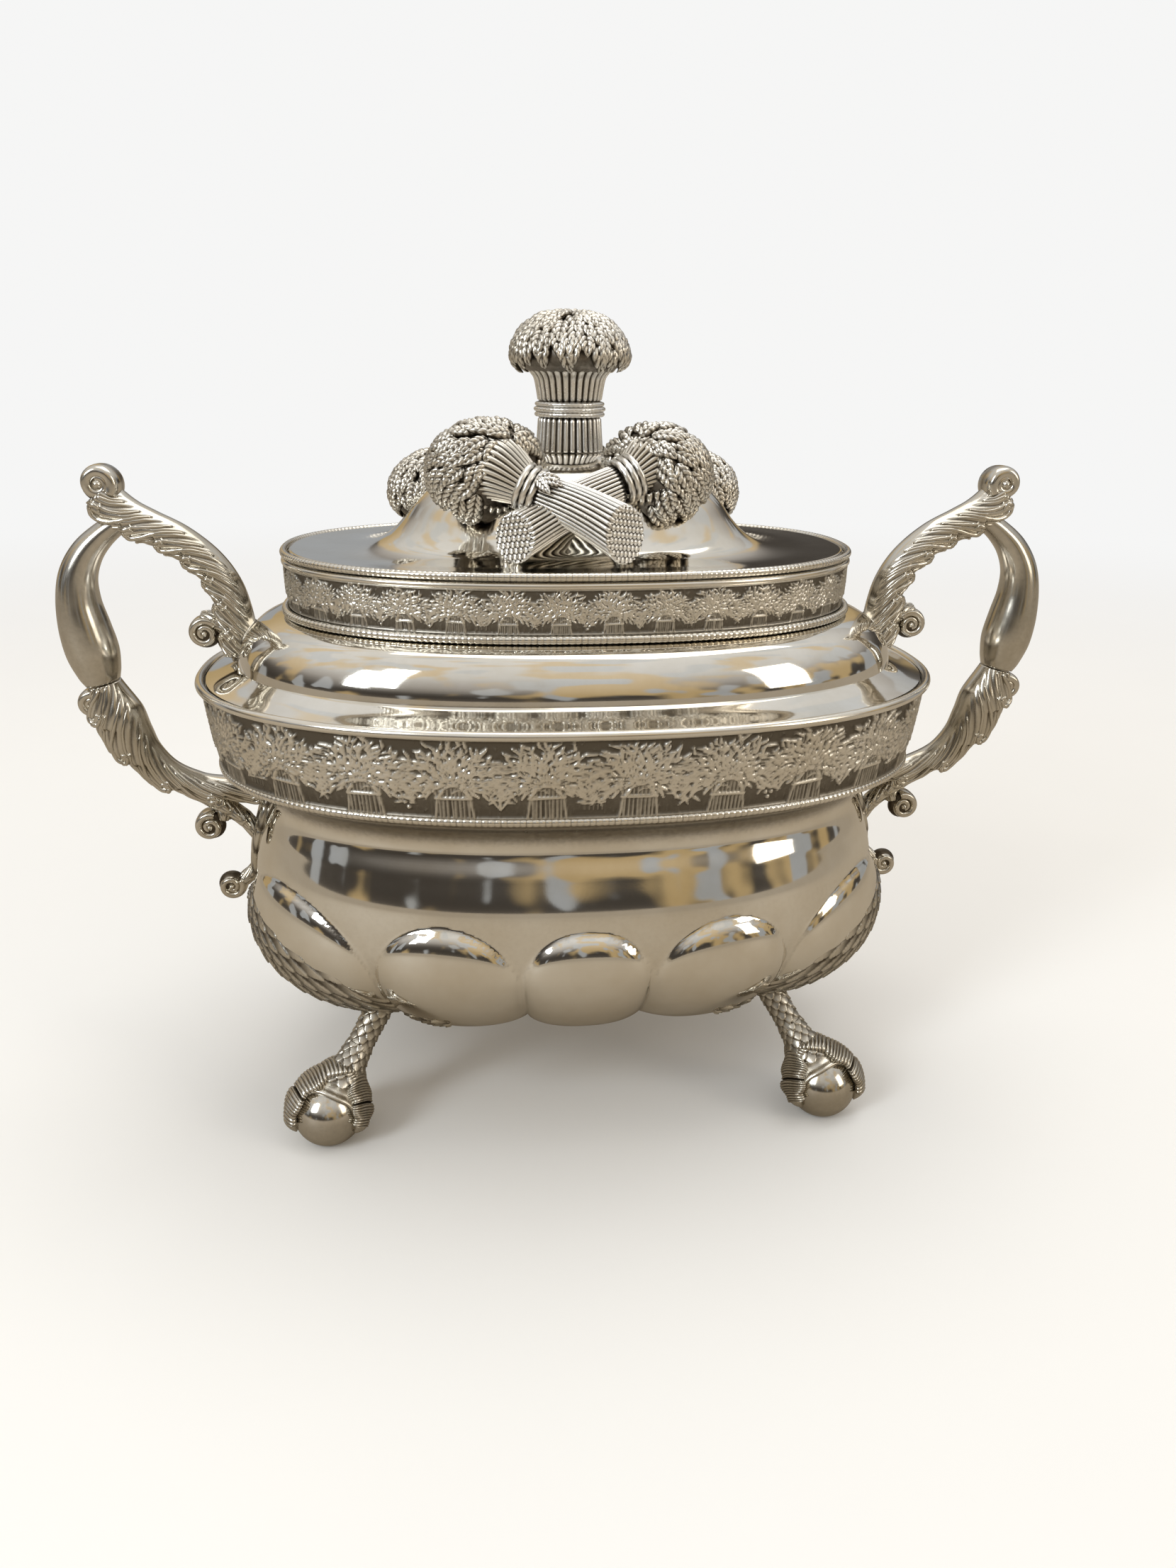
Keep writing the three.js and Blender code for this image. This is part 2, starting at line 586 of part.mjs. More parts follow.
HANDLE_PARTS.lower_volute = carve(HANDLE_PARTS.lower_volute, lowerLimbRoom);
HANDLE_PARTS.shoulder_leaf = carve(HANDLE_PARTS.shoulder_leaf, shoulderClearance, limbRoom);
HANDLE_PARTS.body_leaf = carve(HANDLE_PARTS.body_leaf, bowlClearance);

for (const [side, mirror] of [["left", -1], ["right", 1]]) {
  for (const [part, geometry] of Object.entries(HANDLE_PARTS)) {
    const placed = geometry.clone();
    if (mirror < 0) {
      placed.rotateZ(Math.PI);
    }
    add(`${side}_handle_${part}`, placed, part === "grip" ? SILVER : SILVER_DARK);
  }
}

// Feet, drawn once for the +X +Y corner and mirrored.
const legStations = [
  [50.5, 32.0, 44.0, 4.4, 4.4], [54.0, 34.5, 35.5, 3.7, 3.7], [58.4, 36.6, 28.0, 3.2, 3.2],
  [62.0, 38.6, 22.4, 3.2, 3.2],
];

function footParts() {
  const leg = carve(bar(legStations, 8, 6), bowlClearance);
  const legRoom = bar(grown(legStations, GAP), 8, 6);
  const ballSolid = carve(
    ball(FOOT_X, FOOT_Y, BALL_CENTRE_Z, BALL_RADIUS, BALL_RADIUS, BALL_RADIUS, 12, 8),
    block(FOOT_X - 15, FOOT_Y - 15, -10, FOOT_X + 15, FOOT_Y + 15, 0));
  const ballRoom = ball(FOOT_X, FOOT_Y, BALL_CENTRE_Z, BALL_RADIUS + GAP, BALL_RADIUS + GAP,
    BALL_RADIUS + GAP, 12, 8);
  const grip = ball(FOOT_X - 0.6, FOOT_Y - 0.4, 11.0, 12.2, 11.6, 11.4, 12, 7);
  const ankle = straightBar([58.6, 36.8, 26.6], [66.5, 42.0, 14.0], 4.2, 8.2, 8);
  const claw = carve(
    joined(grip, ankle), ballRoom, legRoom,
    block(40, 20, -5, 100, 70, 6.0),
    ball(FOOT_X, FOOT_Y + 13.0, 7.0, 6.4, 7.0, 8.6, 7, 4),
    ball(FOOT_X, FOOT_Y - 13.0, 4.6, 5.4, 6.0, 5.6, 7, 4));
  const knee = carve(
    wallLeaf({ from: 55.5, to: 11.1, rowFrom: 10.4, rowTo: 7.6 },
      (u) => 0.4 + 1.2 * Math.sin(Math.PI * Math.min(1, u * 0.8 + 0.25)), -1.2, 1.9),
    legRoom, bowlClearance);
  return { knee_leaf: knee, leg, claw, ball: ballSolid };
}

const foot = footParts();
const CORNERS = [
  ["front_left", -1, -1], ["front_right", 1, -1], ["rear_left", -1, 1], ["rear_right", 1, 1],
];
for (const [corner, mirrorX, mirrorY] of CORNERS) {
  for (const [part, geometry] of Object.entries(foot)) {
    const positions = Array.from(geometry.attributes.position.array);
    for (let i = 0; i < positions.length; i += 3) {
      positions[i] *= mirrorX;
      positions[i + 1] *= mirrorY;
    }
    add(`${corner}_foot_${part}`, meshFrom(positions, Array.from(geometry.index.array)),
      part === "ball" ? SILVER : SILVER_DARK);
  }
}

export default group;
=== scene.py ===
"""Silver covered sugar bowl: the looks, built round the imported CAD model.

Lengths are in millimetres until a piece is made, where MM turns them into metres.
+X runs along the handles, -Y is the front and +Z is up, as in the CAD model.
"""

import math

import bpy
import numpy as np
from mathutils import Matrix, Vector


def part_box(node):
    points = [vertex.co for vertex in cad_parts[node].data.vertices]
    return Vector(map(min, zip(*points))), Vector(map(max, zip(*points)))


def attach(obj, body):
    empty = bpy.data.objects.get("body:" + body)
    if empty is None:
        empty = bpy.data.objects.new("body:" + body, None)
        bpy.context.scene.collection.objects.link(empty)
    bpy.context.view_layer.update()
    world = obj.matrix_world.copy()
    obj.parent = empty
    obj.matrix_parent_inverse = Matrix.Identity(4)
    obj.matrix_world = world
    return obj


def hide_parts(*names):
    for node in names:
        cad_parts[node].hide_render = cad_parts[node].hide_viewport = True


MM = 0.001
TAU = 2 * math.pi
PLAN_POWER = 2.3
SHEET = 1.6
LID_SHEET = 1.4

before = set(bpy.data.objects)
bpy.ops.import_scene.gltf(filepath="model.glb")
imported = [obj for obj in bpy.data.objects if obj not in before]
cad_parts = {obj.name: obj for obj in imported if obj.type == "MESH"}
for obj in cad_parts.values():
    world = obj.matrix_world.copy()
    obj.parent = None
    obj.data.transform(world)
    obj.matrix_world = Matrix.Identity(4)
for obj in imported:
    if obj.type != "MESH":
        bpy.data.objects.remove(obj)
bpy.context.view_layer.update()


def box_mm(node):
    """Lowest and highest corner of a CAD node, in millimetres."""
    low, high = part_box(node)
    return np.array(low) / MM, np.array(high) / MM


# ---------------------------------------------------------------- curves and grids


def spline(points, steps=12):
    """A Catmull-Rom curve through the points, with steps samples in each span."""
    p = np.asarray(points, float)
    p = np.vstack([2 * p[0] - p[1], p, 2 * p[-1] - p[-2]])
    t = np.linspace(0, 1, steps, endpoint=False)[:, None]
    spans = []
    for a, b, c, d in zip(p, p[1:], p[2:], p[3:]):
        cubic = (d - a + 3 * (b - c)) * t**3
        square = (2 * a - 5 * b + 4 * c - d) * t**2
        spans.append((2 * b + (c - a) * t + square + cubic) / 2)
    return np.vstack(spans + [p[-2:-1]])


def resample(curve, count, density=None):
    """count points spread evenly along a curve, or by a density at each of its points."""
    step = np.linalg.norm(np.diff(curve, axis=0), axis=1)
    if density is not None:
        step = step * (density[1:] + density[:-1]) / 2
    along = np.concatenate([[0], np.cumsum(step)])
    wanted = np.linspace(0, along[-1], count)
    return np.stack([np.interp(wanted, along, column) for column in curve.T], -1)


def unit(v):
    return v / np.maximum(np.linalg.norm(v, axis=-1, keepdims=True), 1e-9)


def smoothstep(x, low, high):
    t = np.clip((x - low) / (high - low), 0, 1)
    return t * t * (3 - 2 * t)


def oval(half_length, half_width, angle, power=PLAN_POWER):
    """A point on the oval plan of the bowl: a superellipse."""
    c, s = np.cos(angle), np.sin(angle)
    x = half_length * np.sign(c) * np.abs(c) ** (2 / power)
    y = half_width * np.sign(s) * np.abs(s) ** (2 / power)
    return x, y


def loft(profile, angles, power=PLAN_POWER):
    """Rings through rows of (half length, half width, height)."""
    a, b, z = np.asarray(profile, float).T
    power = np.broadcast_to(power, a.shape)[:, None]
    x, y = oval(a[:, None], b[:, None], angles[None, :], power)
    return np.stack([x, y, np.broadcast_to(z[:, None], x.shape)], -1)


def even_angles(half_length, half_width, count):
    """Angles that step evenly along the edge of an oval, and the edge's length."""
    fine = np.linspace(0, TAU, 20001)
    x, y = oval(half_length, half_width, fine)
    along = np.concatenate([[0], np.cumsum(np.hypot(np.diff(x), np.diff(y)))])
    wanted = np.arange(count) * along[-1] / count
    return np.interp(wanted, along, fine), along[-1]


def turn_angles(count):
    return np.arange(count) * TAU / count


def grid_normals(grid):
    """Unit normals of a grid of rings, pointing away from the Z axis."""
    along = np.gradient(grid, axis=0)
    around = np.roll(grid, -1, 1) - np.roll(grid, 1, 1)
    n = unit(np.cross(around, along))
    outward = (n[..., :2] * grid[..., :2]).sum()
    return n if outward > 0 else -n


def tube(path, radius_a, radius_b, cols, side):
    """Rings along a path. radius_b lies along side, radius_a across it.

    Returns the centre of each ring, the outward vector of each point at radius 1, and
    the angle of each column, which is 0 along side x tangent.
    """
    path = np.asarray(path, float)
    tangent = unit(np.gradient(path, axis=0))
    side = np.broadcast_to(np.asarray(side, float), path.shape)
    side = unit(side - tangent * (side * tangent).sum(-1, keepdims=True))
    across = np.cross(side, tangent)
    angle = turn_angles(cols)
    out = (
        across[:, None] * np.cos(angle)[None, :, None] * np.reshape(radius_a, (-1, 1, 1))
        + side[:, None] * np.sin(angle)[None, :, None] * np.reshape(radius_b, (-1, 1, 1))
    )
    return path[:, None], out, angle


def sphere(rows, cols, first, last):
    """A grid on the unit sphere, between two polar angles from the +Z axis."""
    polar = np.linspace(first, last, rows)[:, None]
    turn = turn_angles(cols)[None, :]
    level = np.sin(polar)
    return np.stack([level * np.cos(turn), level * np.sin(turn), np.cos(polar) + 0 * turn], -1)


def length_along(path):
    step = np.linalg.norm(np.diff(path, axis=0), axis=1)
    return np.concatenate([[0], np.cumsum(step)])


# ---------------------------------------------------------------- making pieces


class Part:
    """Closed grids of points gathered into one mesh, each turned to face outward."""

    def __init__(self):
        self.points, self.wear, self.quads, self.tris = [], [], [], []
        self.size = 0

    def add(self, grid, wear=1.0, wrap_rows=False):
        """A grid of rings. Its two ends are capped, unless the rows wrap round."""
        rows, cols = grid.shape[:2]
        points = grid.reshape(-1, 3)
        worn_and_shaded = np.broadcast_to(wear, (rows, cols)).reshape(-1).astype(float)
        r = np.arange(rows if wrap_rows else rows - 1)[:, None]
        c = np.arange(cols)[None, :]
        r2, c2 = (r + 1) % rows, (c + 1) % cols
        quads = np.stack(
            [r * cols + c, r * cols + c2, r2 * cols + c2, r2 * cols + c], -1
        ).reshape(-1, 4)
        tris = np.zeros((0, 3), int)
        if not wrap_rows:
            last = (rows - 1) * cols
            c, c2 = c[0], c2[0]
            centre = len(points)
            points = np.vstack([points, grid[0].mean(0), grid[-1].mean(0)])
            worn_and_shaded = np.append(worn_and_shaded, [worn_and_shaded[:cols].mean(), worn_and_shaded[last:].mean()])
            start = np.stack([np.full(cols, centre), c2, c], -1)
            end = np.stack([np.full(cols, centre + 1), last + c, last + c2], -1)
            tris = np.vstack([start, end])
        self.add_faces(points, worn_and_shaded, quads, tris)

    def add_faces(self, points, worn_and_shaded, quads, tris):
        faces = np.vstack([quads[:, [0, 1, 2]], quads[:, [0, 2, 3]], tris])
        a, b, c = (points[faces[:, k]] for k in range(3))
        if (a * np.cross(b, c)).sum() < 0:
            quads, tris = quads[:, ::-1], tris[:, ::-1]
        self.points.append(points)
        self.wear.append(worn_and_shaded)
        self.quads.append(quads + self.size)
        self.tris.append(tris + self.size)
        self.size += len(points)

    def add_rounded(self, grid, wear, rim=None, share=0.35):
        """Adds a grid with its two ends rounded over, so that its caps aren't flat cuts.

        rim is the patina and painted shade value of the two added rings, where it isn't that of their
        neighbours.
        """
        first, last = (ring.mean(0) + (ring - ring.mean(0)) * share for ring in (grid[0], grid[-1]))
        worn_and_shaded = np.broadcast_to(wear, grid.shape[:2])
        ends = [worn_and_shaded[:1], worn_and_shaded[-1:]] if rim is None else [np.full_like(worn_and_shaded[:1], rim, float)] * 2
        self.add(np.concatenate([first[None], grid, last[None]]), np.vstack([ends[0], worn_and_shaded, ends[1]]))

    def mapped(self, change):
        """The same part with every point changed, as for a mirrored copy."""
        made = Part()
        points = change(np.vstack(self.points))
        flip = np.linalg.det(change(np.eye(3)) - change(np.zeros((3, 3)))) < 0
        quads, tris = np.vstack(self.quads), np.vstack(self.tris)
        made.points, made.wear = [points], [np.concatenate(self.wear)]
        made.quads = [quads[:, ::-1] if flip else quads]
        made.tris = [tris[:, ::-1] if flip else tris]
        made.size = self.size
        return made


def make(name, part, body, slot, replaces=(), sharp=None):
    """Turns a part into a smooth mesh object that rides on a CAD body."""
    points = np.vstack(part.points) * MM
    quads, tris = np.vstack(part.quads), np.vstack(part.tris)
    corners = np.concatenate([quads.ravel(), tris.ravel()])
    starts = np.concatenate([np.arange(len(quads)) * 4, len(quads) * 4 + np.arange(len(tris)) * 3])
    mesh = bpy.data.meshes.new(name)
    mesh.vertices.add(len(points))
    mesh.vertices.foreach_set("co", points.astype(np.float32).ravel())
    mesh.loops.add(len(corners))
    mesh.loops.foreach_set("vertex_index", corners.astype(np.int32))
    mesh.polygons.add(len(starts))
    mesh.polygons.foreach_set("loop_start", starts.astype(np.int32))
    mesh.update(calc_edges=True)
    mesh.polygons.foreach_set("use_smooth", np.ones(len(starts), bool))
    if sharp:
        mesh.set_sharp_from_angle(angle=math.radians(sharp))
    # Each point's value for patina and painted shade: low values darken the silver towards its ground
    # colour.
    wear = mesh.attributes.new("wear", "FLOAT", "POINT")
    worn_and_shaded = np.clip(np.concatenate(part.wear), 0, 1)
    wear.data.foreach_set("value", worn_and_shaded.astype(np.float32))
    mesh.materials.append(MATERIALS[slot])
    piece = bpy.data.objects.new(name, mesh)
    bpy.context.scene.collection.objects.link(piece)
    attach(piece, body)
    if replaces:
        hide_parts(*replaces)
    return piece


# ---------------------------------------------------------------- silver


def empty_tree(owner):
    """The node tree of a material or a world, with nothing in it."""
    owner.use_nodes = True
    owner.node_tree.nodes.clear()
    return owner.node_tree


def node(tree, kind, inputs=None, **settings):
    """Adds a shader node. Its inputs are values, or sockets to link from."""
    made = tree.nodes.new("ShaderNode" + kind)
    for key, value in settings.items():
        setattr(made, key, value)
    for key, value in (inputs or {}).items():
        if isinstance(value, bpy.types.NodeSocket):
            tree.links.new(value, made.inputs[key])
        else:
            made.inputs[key].default_value = value
    return made


def mix_colour(tree, factor, a, b):
    return node(tree, "Mix", {0: factor, 6: a, 7: b}, data_type="RGBA").outputs[2]


def noise(tree, place, scale, detail, roughness=0.5):
    inputs = {"Vector": place, "Scale": scale, "Detail": detail, "Roughness": roughness}
    return node(tree, "TexNoise", inputs).outputs["Fac"]


def ranged(tree, value, low, high, to_low=0.0, to_high=1.0, ease=False):
    """Maps low to high onto to_low to to_high, eased at both ends if ease is true."""
    inputs = {"Value": value, "From Min": low, "From Max": high, "To Min": to_low, "To Max": to_high}
    kind = "SMOOTHSTEP" if ease else "LINEAR"
    return node(tree, "MapRange", inputs, interpolation_type=kind).outputs["Result"]


# The noises in the silver: cells in a metre (scratches have their own), detail, roughness.
DRIFT_NOISE = (38.0, 5.0, 0.62)
SPECK_NOISE = (900.0, 3.0, 0.6)
SMEAR_NOISE = (75.0, 6.0, 0.7)
SCRATCH_NOISE = (1.0, 4.0, 0.7)
DENT_NOISE = (120.0, 2.0, 0.5)
SPECK_SHARE = 0.22
SMEARED_GLOSS = 1.9
SCRATCH_TURN = (0.3, 0.5, 0.9)
SCRATCH_STRETCH = 0.06


def silver(slot, bright, tarnish, ground, gloss, satin, grain, depth):
    """Worn silver.

    bright and tarnish are the colours that drift over the surface, and ground is the
    colour in the recesses, patina together with painted shade. gloss and satin are the roughness of the
    high parts and of the recesses. grain is how many scratches there are in a metre and depth is how
    deep they are, in metres.
    """
    material = bpy.data.materials.new("silver_" + slot)
    tree = empty_tree(material)
    place = node(tree, "TexCoord").outputs["Object"]
    drift = ranged(tree, noise(tree, place, *DRIFT_NOISE), 0.36, 0.68)
    speck = noise(tree, place, *SPECK_NOISE)
    # The point value read here runs from 0 in recesses to 1 on high parts; its low values give patina and
    # painted shade.
    wear = node(tree, "Attribute", attribute_name="wear").outputs["Fac"]
    broken = node(tree, "Math", {0: speck, 1: SPECK_SHARE, 2: wear}, operation="MULTIPLY_ADD")
    high = ranged(tree, broken.outputs[0], 0.18, 0.85, ease=True)
    metal = mix_colour(tree, drift, bright, tarnish)
    colour = mix_colour(tree, high, ground, metal)
    smear = noise(tree, place, *SMEAR_NOISE)
    polish = ranged(tree, smear, 0.3, 0.75, gloss, gloss * SMEARED_GLOSS)
    rough = node(tree, "Mix", {0: high, 2: satin, 3: polish}).outputs[0]
    fine = (grain, grain * SCRATCH_STRETCH, grain)
    along = node(tree, "Mapping", {"Vector": place, "Rotation": SCRATCH_TURN, "Scale": fine})
    scratch = noise(tree, along.outputs["Vector"], *SCRATCH_NOISE)
    dent = noise(tree, place, *DENT_NOISE)
    dented = {"Height": dent, "Strength": 0.35, "Distance": depth * 1.6}
    scratched = {"Height": scratch, "Strength": 0.5, "Distance": depth}
    scratched["Normal"] = node(tree, "Bump", dented).outputs["Normal"]
    bump = node(tree, "Bump", scratched).outputs["Normal"]
    looks = {"Base Color": colour, "Metallic": 1.0, "Roughness": rough, "Normal": bump}
    shader = node(tree, "BsdfPrincipled", looks).outputs["BSDF"]
    node(tree, "OutputMaterial", {"Surface": shader})
    return material


PAINTED_HIGHLIGHT_WHITE = (0.93, 0.92, 0.9, 1)
PALE = (0.83, 0.805, 0.75, 1)
WARM = (0.73, 0.685, 0.6, 1)
DULL = (0.66, 0.63, 0.57, 1)
DULL_WARM = (0.52, 0.48, 0.4, 1)
SOFT_GREY = (0.16, 0.143, 0.118, 1)
PATINA_AND_SHADE = (0.09, 0.072, 0.052, 1)

MATERIALS = {
    slot: silver(slot, *look)
    for slot, look in {
        "bowl_sheet": (PALE, WARM, PATINA_AND_SHADE, 0.045, 0.3, 900, 3e-6),
        "lid_sheet": (PALE, WARM, PATINA_AND_SHADE, 0.07, 0.3, 900, 4e-6),
        "wire_trim": (PALE, WARM, PATINA_AND_SHADE, 0.13, 0.35, 700, 4e-6),
        "die_rolled_band": (PALE, WARM, SOFT_GREY, 0.22, 0.5, 1200, 9e-6),
        "handle_casting": (DULL, DULL_WARM, PATINA_AND_SHADE, 0.12, 0.42, 800, 8e-6),
        "wheat_ears": (PALE, WARM, PATINA_AND_SHADE, 0.22, 0.5, 1100, 9e-6),
        # The stalks get a whiter silver than the ears: a painted highlight for the window reflections on
        # them.
        "wheat_stalks": (PAINTED_HIGHLIGHT_WHITE, PALE, PATINA_AND_SHADE, 0.2, 0.5, 1100, 8e-6),
        "chased_foot": (DULL, DULL_WARM, PATINA_AND_SHADE, 0.17, 0.46, 900, 8e-6),
        "foot_ball": (DULL, DULL_WARM, PATINA_AND_SHADE, 0.09, 0.3, 700, 6e-6),
        "hidden_fixing": (WARM, WARM, PATINA_AND_SHADE, 0.3, 0.5, 700, 8e-6),
    }.items()
}

# ---------------------------------------------------------------- bowl

# Rows of half length, half width and height, from the flange down to the floor.
BOWL_WALL = [
    (96.9, 64.7, 120.2), (93.8, 61.6, 100.0), (92.8, 60.6, 96.6), (86.6, 55.0, 92.6),
    (84.3, 53.0, 87.4), (86.2, 55.3, 80.0), (88.6, 57.8, 71.0), (89.4, 58.6, 62.5), (89.0, 58.0, 54.0),
    (86.4, 55.4, 46.4), (80.2, 49.6, 39.6), (70.0, 41.8, 35.3), (54.0, 31.2, 32.8), (24.0, 13.5, 32.0),
]
WALL_STEPS = 24
WALL_CURVE = spline(BOWL_WALL, WALL_STEPS)

# Each lobe's two edges as angles in a quarter turn, the height of its head, and the
# height of the arch at its head. The front lobe straddles the end of the quarter.
LOBES = [(81.4, 98.6, 66.5, 17.0), (55.5, 81.4, 67.5, 17.0), (0.0, 55.5, 71.0, 24.0)]
LOBE_DEPTH = 4.6
LOBE_FOOT_Z = 31.5
LOBE_FOOT_FADE = 7.0
CREASE_SOFTNESS = 0.16


def lobe_reach(degrees, z):
    """How far out in its lobe a point is: 0 in the middle, 1 or more at the edge."""
    quarter = np.abs((degrees + 90) % 180 - 90)
    reach = np.ones(np.broadcast(quarter, z).shape)
    for start, end, head, arch in LOBES:
        across = (2 * quarter - start - end) / (end - start)
        above = np.maximum(0, z - (head - arch)) / arch
        reach = np.where((quarter >= start) & (quarter <= end), across**2 + above**2, reach)
    return np.minimum(reach, 1)


def lobe_swell(degrees, z):
    soft = CREASE_SOFTNESS
    round_top = np.sqrt(1 - lobe_reach(degrees, z) + soft**2) - soft
    fade = np.clip((z - LOBE_FOOT_Z) / LOBE_FOOT_FADE, 0, 1)
    return LOBE_DEPTH * round_top * (0.25 + 0.75 * fade)


def lobed(profile, angles):
    """The wall's grid with its lobes pushed out, and its normals."""
    plain = loft(profile, angles)
    normal = grid_normals(plain)
    swell = lobe_swell(np.degrees(angles)[None, :], plain[..., 2])
    return plain + normal * swell[..., None], normal


def lobe_angles(step):
    """Angles round the bowl, with one on every crease between two lobes."""
    edges = [0.0, LOBES[1][0], LOBES[0][0], 90.0]
    quarter = np.concatenate(
        [
            np.linspace(a, b, max(2, round((b - a) / step)), endpoint=False)
            for a, b in zip(edges, edges[1:])
        ]
    )
    half = np.concatenate([quarter, 180 - np.append(quarter, 90.0)[:0:-1]])
    return np.radians(np.concatenate([half, half + 180]))


def bowl_body():
    angles = lobe_angles(0.62)
    z = WALL_CURVE[:, 2]
    density = 0.3 + smoothstep(z, 33, 36) - smoothstep(z, 92, 99)
    outer = resample(WALL_CURVE, 120, density)
    skin, _ = lobed(outer, angles)
    inner_profile = resample(WALL_CURVE, 36)
    plain = loft(inner_profile, angles)
    lining = plain - grid_normals(plain) * SHEET
    reach = lobe_reach(np.degrees(angles)[None, :], skin[..., 2])
    in_lobe = skin[..., 2] < LOBES[2][2]
    crease = np.exp(-(((reach - 0.97) / 0.05) ** 2)) * in_lobe
    # Painted shade darkens the neck under the lower band.
    shade_under_band = smoothstep(skin[..., 2], 84, 93)
    wear = np.vstack([(1 - 0.45 * crease - 0.75 * shade_under_band)[::-1], np.full(plain.shape[:2], 0.7)])
    part = Part()
    part.add(np.vstack([skin[::-1], lining]), wear)
    return part


def shell_between(top, under, cols, wear=1.0):
    """A closed ring of sheet between a top profile and an under profile."""
    angles = turn_angles(cols)
    part = Part()
    part.add(loft(np.vstack([top, under[::-1]]), angles), wear, wrap_rows=True)
    return part


def shoulder():
    flange = [(97.6, 65.6, 122.1), (93.4, 61.4, 123.5), (89.2, 57.2, 125.4)]
    roll = [
        (89.2, 57.2, 125.4), (88.6, 56.7, 128.4), (86.8, 55.3, 132.2), (83.4, 53.1, 135.6),
        (79.6, 50.6, 137.4), (75.6, 48.0, 138.3),
    ]
    under = [
        (97.6, 65.6, 120.6), (87.8, 55.9, 124.2), (87.0, 55.2, 126.6), (85.6, 54.4, 130.4),
        (82.2, 52.2, 134.3), (75.6, 48.0, 136.7),
    ]
    top = np.vstack([resample(spline(flange), 12)[:-1], resample(spline(roll), 36)])
    low = np.vstack([under[0], resample(spline(under[1:]), 14)])
    return shell_between(top, low, 480)


def wire(half_length, half_width, z, radius, bead, rise, spacing):
    """A round wire laid round an oval. bead is the pitch of the beads rolled along it."""
    _, edge = even_angles(half_length, half_width, 8)
    cols = int(edge / spacing)
    angles, edge = even_angles(half_length, half_width, cols)
    x, y = oval(half_length, half_width, angles)
    path = np.stack([x, y, np.full_like(x, z)], -1)
    tangent = unit(np.roll(path, -1, 0) - np.roll(path, 1, 0))
    up = np.array([0, 0, 1.0])
    out = np.cross(tangent, up)
    turn = turn_angles(16)
    ring = np.cos(turn)[:, None, None] * out + np.sin(turn)[:, None, None] * up
    size = np.full(cols, radius)
    wear = np.ones(cols)
    if bead:
        count = round(edge / bead)
        wave = np.abs(np.cos(np.arange(cols) * math.pi * count / cols))
        size = radius - rise * (1 - wave)
        wear = 0.35 + 0.65 * wave
    part = Part()
    part.add(path + ring * size[:, None], np.broadcast_to(wear, (16, cols)), wrap_rows=True)
    return part


# ---------------------------------------------------------------- die-rolled bands


class Relief:
    """A height map rolled round a band: columns wrap, rows run from bottom to top."""

    def __init__(self, width, height, cols, rows):
        self.h = np.zeros((rows, cols))
        self.du, self.dv = width / cols, height / (rows - 1)

    def stroke(self, x0, y0, x1, y1, r0, r1, rise):
        """A rounded ridge from one point to another."""
        rows, cols = self.h.shape
        pad = max(r0, r1)
        j0 = math.floor((min(x0, x1) - pad) / self.du)
        j = np.arange(j0, math.ceil((max(x0, x1) + pad) / self.du) + 1)
        i0 = max(0, math.floor((min(y0, y1) - pad) / self.dv))
        i1 = min(rows, math.ceil((max(y0, y1) + pad) / self.dv) + 1)
        if i1 <= i0:
            return
        i = np.arange(i0, i1)[:, None]
        dx, dy = x1 - x0, y1 - y0
        px, py = j * self.du - x0, i * self.dv - y0
        t = np.clip((px * dx + py * dy) / (dx * dx + dy * dy + 1e-9), 0, 1)
        d2 = (px - t * dx) ** 2 + (py - t * dy) ** 2
        r = r0 + (r1 - r0) * t
        bump = rise * np.sqrt(np.clip(1 - d2 / r**2, 0, 1))
        cells = np.ix_(range(i0, i1), j % cols)
        self.h[cells] = np.maximum(self.h[cells], bump)


class Pen:
    """Draws on a relief in shares of the band's height, from a place along its foot."""

    def __init__(self, relief, place, size):
        self.relief, self.place, self.size = relief, place, size

    def stroke(self, x0, y0, x1, y1, r0, r1, rise):
        x0, y0, x1, y1, r0, r1 = (self.size * v for v in (x0, y0, x1, y1, r0, r1))
        self.relief.stroke(self.place + x0, y0, self.place + x1, y1, r0, r1, rise)

    def curve(self, points, r0, r1, rise):
        n = len(points) - 1
        for k, (a, b) in enumerate(zip(points, points[1:])):
            ra, rb = (r0 + (r1 - r0) * (k + e) / n for e in (0, 1))
            self.stroke(*a, *b, ra, rb, rise)


# A band's sheaf, in shares of the band's height: half its width and how high its ears
# begin, then the rings of ears: where they start and end, how many there are and how
# proud they stand.
WAIST = 0.2
CROWN = 0.42
CANOPY = [
    (0.36, 0.56, 37, 0.62), (0.27, 0.46, 31, 0.7), (0.18, 0.36, 25, 0.78), (0.09, 0.26, 17, 0.86),
    (0.0, 0.15, 9, 0.94),
]
MOUND_RISE = 0.26
MOTIF_RISE = 0.68
GROUND_STROKES = 60
GROUND_DEPTH = 0.7


